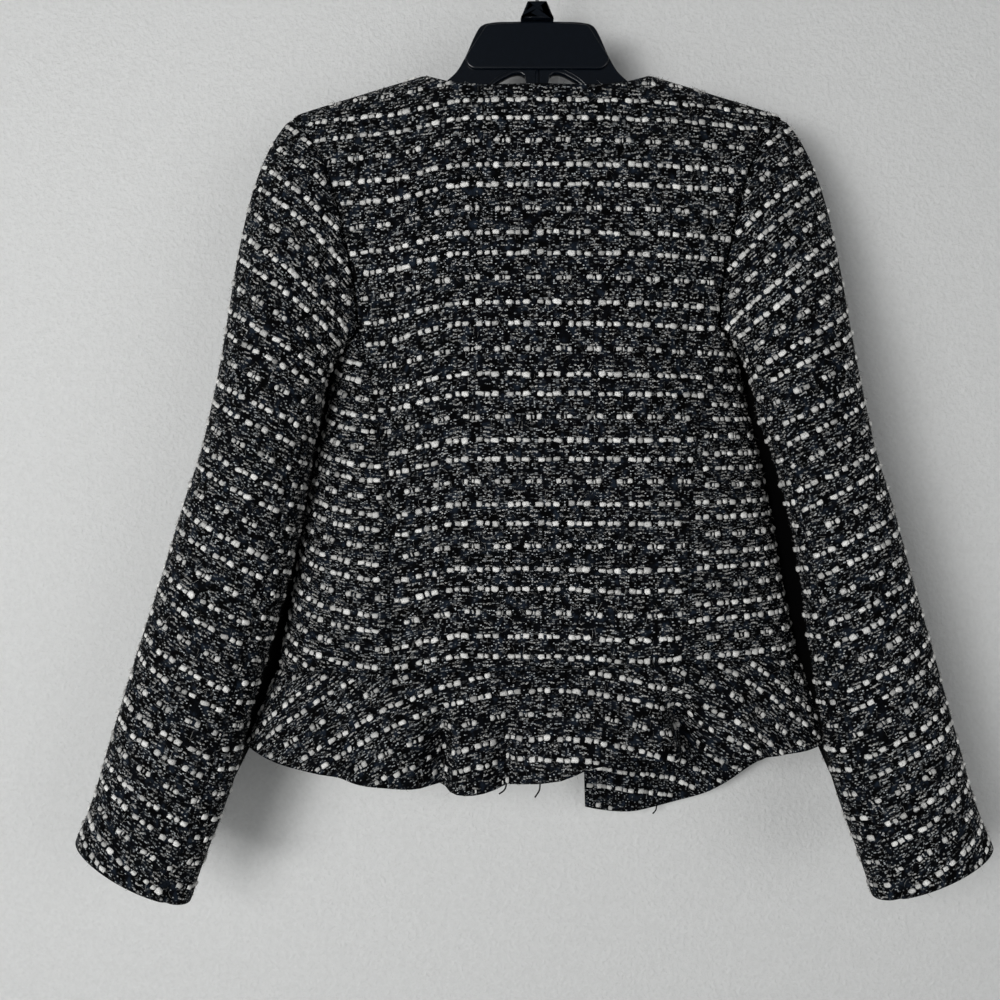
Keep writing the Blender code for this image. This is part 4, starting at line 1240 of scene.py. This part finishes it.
def add_fuzz(name, weave, material, random):
    """Fine fibres that stand out of a panel, as thin bent ribbons."""
    # No fibres stand out where shade is painted
    area = np.where(weave.painted_shade[1:, 1:], 0, cell_areas(weave.grid))
    count = int(area.sum() * FUZZ_PER_AREA)
    cell = random.choice(area.size, count, p=(area / area.sum()).ravel())
    at = stacked(cell // area.shape[1], cell % area.shape[1]) + random.random((count, 2))
    root = blend(weave.grid, at)[0]
    normal = blend(weave.normals, at)[0]
    lean = random.normal(0, 1, (count, 3))
    lean = unit(lean - normal * np.sum(lean * normal, axis=1, keepdims=True))
    length = random.uniform(*FUZZ_LENGTH, (count, 1))
    bend = random.normal(0, 1, (count, 3))
    wide = np.cross(lean, normal) * FUZZ_WIDTH / 2
    along, out = FUZZ_MIDDLE
    middle = root + length * (along * lean + out * normal)
    along, out, aside = FUZZ_TIP
    tip = root + length * (along * lean + out * normal + aside * bend)
    points = np.stack([root - wide, root + wide, middle + wide, middle - wide, tip], axis=1)
    return add_many(name, points, FUZZ_FACES, random.uniform(*FUZZ_TONES, count), material)


def loose_yarns(name, grid):
    """Tubes of the yarns that hang from a panel's hem."""
    hem = grid[0]
    found = []
    for panel, x, *steps in LOOSE_YARNS:
        if panel == name:
            start = hem[np.argmin(np.abs(hem[:, 0] - x))]
            route = spaced(start + np.array([YARN_ROOT, *steps]), np.linspace(0, 1, YARN_POINTS))
            found.append(tube(route, YARN_RADIUS))
    return found


def add_trim(name, grid, grain, normals, painted_shade, wool, random):
    """A panel's slubs, beads, fibres and loose yarns."""
    slubs = {"table": slub_table(), "shape": SLUB_DOME, "margin": SLUB_MARGIN}
    beads = {"table": bead_table(), "shape": BEAD_DOME, "margin": BEAD_MARGIN, "lost": BEAD_LOST}
    weave = Weave(grid, grain, normals, painted_shade)
    trim = [
        add_domes(f"slubs_{name}", weave, wool, random, **slubs),
        add_domes(f"beads_{name}", weave, wool, random, **beads),
        add_fuzz(f"fuzz_{name}", weave, wool, random),
    ]
    if name in FACED:
        inside = Weave(grid - CLOTH * normals, grain, -normals, painted_shade)
        trim.append(add_domes(f"inside_{name}", inside, wool, random, **slubs))
    yarns = loose_yarns(name, grid)
    if yarns:
        loose = mesh_object(f"yarns_{name}", *joined(yarns), wool)
        set_tones(loose.data, np.full(len(loose.data.vertices), YARN_TONE))
        trim.append(loose)
    return trim


def add_cloth(materials):
    """Every cloth panel with what lies on it."""
    random = np.random.default_rng(SEED)
    for name, (grid, grain, painted_shade) in all_panels().items():
        normals = grid_normals(grid)
        grid = grid + normals * border_relief(grid, SEWN[name])[..., None]
        points, faces = shell(grid, normals)
        cloth = mesh_object(f"cloth_{name}", points, faces, materials["tweed"])
        flat_grain = grain.reshape(-1, 2)
        set_grain(cloth.data, np.concatenate([flat_grain, flat_grain]))
        # Painted shade: tone 0 makes the cloth in a sleeve's gap black
        set_tones(cloth.data, np.tile(np.where(painted_shade, 0.0, 1.0).ravel(), 2))
        trim = add_trim(name, grid, grain, normals, painted_shade, materials["slub"], random)
        for piece in (cloth, *trim):
            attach(piece, "root")
        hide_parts(name)
        width, length, area = flat_cut(grid)


def loft(rings):
    """Points and triangles of a body over rings of points, closed by a fan at both ends."""
    count, sides = rings.shape[:2]
    number = np.arange(count * sides).reshape(count, sides)
    after = np.roll(number, -1, axis=1)
    triangles = [
        stacked(number[:-1], after[:-1], after[1:]).reshape(-1, 3),
        stacked(number[:-1], after[1:], number[1:]).reshape(-1, 3),
        stacked(count * sides, after[0], number[0]),
        stacked(number[-1], after[-1], count * sides + 1),
    ]
    points = [rings.reshape(-1, 3), rings[:1].mean(axis=1), rings[-1:].mean(axis=1)]
    return np.concatenate(points), np.concatenate(triangles)


def tube(route, radius):
    """Points and triangles of a round tube along a route."""
    way = unit(np.gradient(route, axis=0))
    side = unit(np.cross(way, TUBE_SIDEWAYS))
    other = np.cross(way, side)
    turns = (np.arange(TUBE_SIDES) * 2 * math.pi / TUBE_SIDES)[None, :, None]
    across = np.cos(turns) * side[:, None] + np.sin(turns) * other[:, None]
    return loft(route[:, None] + radius * across)


def joined(bodies):
    """Several bodies of points and triangles as one."""
    starts = np.cumsum([0] + [len(points) for points, _ in bodies[:-1]])
    triangles = [faces + start for start, (_, faces) in zip(starts, bodies)]
    return np.concatenate([points for points, _ in bodies]), np.concatenate(triangles)


def hanger_lines(reach):
    """Top and bottom of the hanger's body at a distance from its centre."""
    centre = smooth(reach, HANGER_TOP[:, 0], HANGER_TOP[:, 1])
    dip = HANGER_NECK_DIP * (1 - ease((reach - NECK_X) / (HANGER_DIP_END_X - NECK_X)))
    arm = shoulder_line(np.maximum(reach, NECK_X)) - HANGER_SEAT * math.hypot(1, SHOULDER_SLOPE) - dip
    end_x, end_z = HANGER_TOP[-1]
    into_arm = ease((reach - end_x) / (NECK_X - end_x))
    top = np.where(reach <= end_x, centre, end_z + (arm - end_z) * into_arm)
    bottom = np.minimum(top - HANGER_ARM_HEIGHT, HANGER_BOTTOM_Z)
    open_here = (reach >= LEAF[0, 0]) & (reach <= LEAF[-1, 0])
    return top, np.where(open_here, smooth(reach, LEAF[:, 0], LEAF[:, 1]), bottom)


def bar(x, top, bottom):
    """A bar along x with rounded edges, between a top and a bottom line."""
    deep = HANGER_HALF_DEPTH - HANGER_ROUND
    high, low = top - HANGER_ROUND, bottom + HANGER_ROUND
    outline = []
    for corner, (y, z) in enumerate(((deep, high), (-deep, high), (-deep, low), (deep, low))):
        for angle in np.linspace(0, math.pi / 2, ROUND_STEPS) + corner * math.pi / 2:
            outline.append((y + HANGER_ROUND * math.cos(angle), z + HANGER_ROUND * math.sin(angle)))
    half_way = 2 * ROUND_STEPS
    flat_face = [(-HANGER_HALF_DEPTH, high - HANGER_FLANK), (-HANGER_HALF_DEPTH, low + HANGER_FLANK)]
    outline[half_way:half_way] = flat_face
    return loft(np.stack([stacked(x, y, z) for y, z in outline], axis=1))


def slab_outline(shape):
    """Outline of a plate that narrows upwards, with round corners, as (x, z) points."""
    (foot, low), (top, high) = shape["foot"], shape["top"]
    low_round, high_round = shape["corners"]
    lean = math.atan2(foot - top, high - low)
    lower = np.linspace(-math.pi / 2, lean, CORNER_STEPS)
    upper = np.linspace(lean, math.pi / 2, CORNER_STEPS)
    right = np.concatenate([
        stacked(foot - low_round + low_round * np.cos(lower), low + low_round * (1 + np.sin(lower))),
        stacked(top - high_round + high_round * np.cos(upper), high - high_round * (1 - np.sin(upper))),
    ])
    x = np.linspace(right[-1, 0], -right[-1, 0], TOP_STEPS)[1:-1]
    arched = stacked(x, high + shape["arch"] * (1 - (x / right[-1, 0]) ** 2))
    return np.concatenate([right, arched, right[::-1] * (-1, 1)])


def slab(shape, edge):
    """A plate with rounded edges on both faces."""
    outline = slab_outline(shape)
    along = np.roll(outline, -1, axis=0) - np.roll(outline, 1, axis=0)
    inward = unit(stacked(-along[:, 1], along[:, 0]))
    rings = []
    for face, order in ((BACK, edge[::-1]), (FRONT, edge)):
        for inset, depth in order:
            x, z = (outline + inset * inward).T
            rings.append(stacked(x, face * depth, z))
    return loft(np.array(rings))


def hanger_body():
    """The hanger's moulded body: arms, plate, leaf-shaped openings with rims, and a ribbed post."""
    half = np.concatenate([np.linspace(start, end, count) for start, end, count in HANGER_STATIONS])
    x = np.concatenate([-half[:0:-1], half])
    sill_x = np.linspace(-LEAF[-1, 0], LEAF[-1, 0], CORNER_STEPS)
    rim_x = np.linspace(LEAF[LEAF_RIM_START, 0], LEAF[-1, 0], RIM_SAMPLES)
    rim_z = smooth(rim_x, LEAF[:, 0], LEAF[:, 1]) + LEAF_RIM_RISE
    rims = [stacked(side * rim_x, -HANGER_HALF_DEPTH, rim_z) for side in (LEFT, RIGHT)]
    rib_z = np.linspace(POST_RIB_TOP_Z, HANGER_BOTTOM_Z, CORNER_STEPS)
    return joined([
        bar(x, *hanger_lines(np.abs(x))),
        bar(sill_x, SILL_TOP_Z, HANGER_BOTTOM_Z),
        slab(PLATE, PLATE_EDGE),
        *[tube(rim, LEAF_RIM_RADIUS) for rim in rims],
        tube(stacked(0.0, -HANGER_HALF_DEPTH, rib_z), POST_RIB_RADIUS),
    ])


def add_hanger(frame, materials):
    """The hanger's body and cap with their rounded edges, and the finish of its hook."""
    for node, (points, triangles) in (
        ("hanger_body", hanger_body()), ("hanger_size_cap", slab(CAP, CAP_EDGE)),
    ):
        made = mesh_object(f"moulded_{node}", points, triangles, materials["plastic"])
        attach(made, "root")
        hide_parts(node)
    for slot in frame["nodes"]["hanger_hook"].material_slots:
        slot.material = materials["metal"]


def add_stage(material):
    """A pale wall behind the jacket and a pale floor below it."""
    reach = STAGE_HALF
    planes = {
        "wall": [(-reach, WALL_Y, FLOOR_Z), (reach, WALL_Y, FLOOR_Z),
                 (reach, WALL_Y, reach), (-reach, WALL_Y, reach)],
        "floor": [(-reach, -reach, FLOOR_Z), (reach, -reach, FLOOR_Z),
                  (reach, WALL_Y, FLOOR_Z), (-reach, WALL_Y, FLOOR_Z)],
    }
    for name, corners in planes.items():
        mesh_object(name, np.array(corners), np.array([[0, 1, 2, 3]]), material)


def add_lights():
    """A lamp and a window's light from the left, a weaker fill from the right, and the room's."""
    for name, light in LIGHTS.items():
        data = bpy.data.lights.new(name, "AREA")
        data.size = light["size"]
        data.energy = light["power"]
        made = new_object(name, data)
        made.location = light["place"]
        way = Vector(LIGHT_AIM) - Vector(light["place"])
        made.rotation_euler = way.to_track_quat("-Z", "Y").to_euler()
    world = bpy.context.scene.world or bpy.data.worlds.new("studio")
    bpy.context.scene.world = world
    world.use_nodes = True
    background = world.node_tree.nodes["Background"]
    background.inputs["Color"].default_value = (*AMBIENT, 1)
    background.inputs["Strength"].default_value = AMBIENT_STRENGTH


def add_camera():
    """The camera, level and square to the jacket's back."""
    data = bpy.data.cameras.new("camera")
    data.lens = CAMERA_LENS
    data.sensor_width = CAMERA_SENSOR
    made = new_object("camera", data)
    made.location = CAMERA_PLACE
    made.rotation_euler = (math.pi / 2, 0, 0)
    bpy.context.scene.camera = made
    bpy.context.scene.view_settings.view_transform = "Standard"


def main():
    """Builds the scene on the CAD part."""
    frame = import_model()
    materials = {
        "tweed": tweed_material(), "slub": slub_material(),
        "plastic": plain_material("black_plastic"), "metal": plain_material("plated_steel"),
    }
    add_cloth(materials)
    add_hanger(frame, materials)
    add_stage(plain_material("pale_paint"))
    add_lights()
    add_camera()


main()
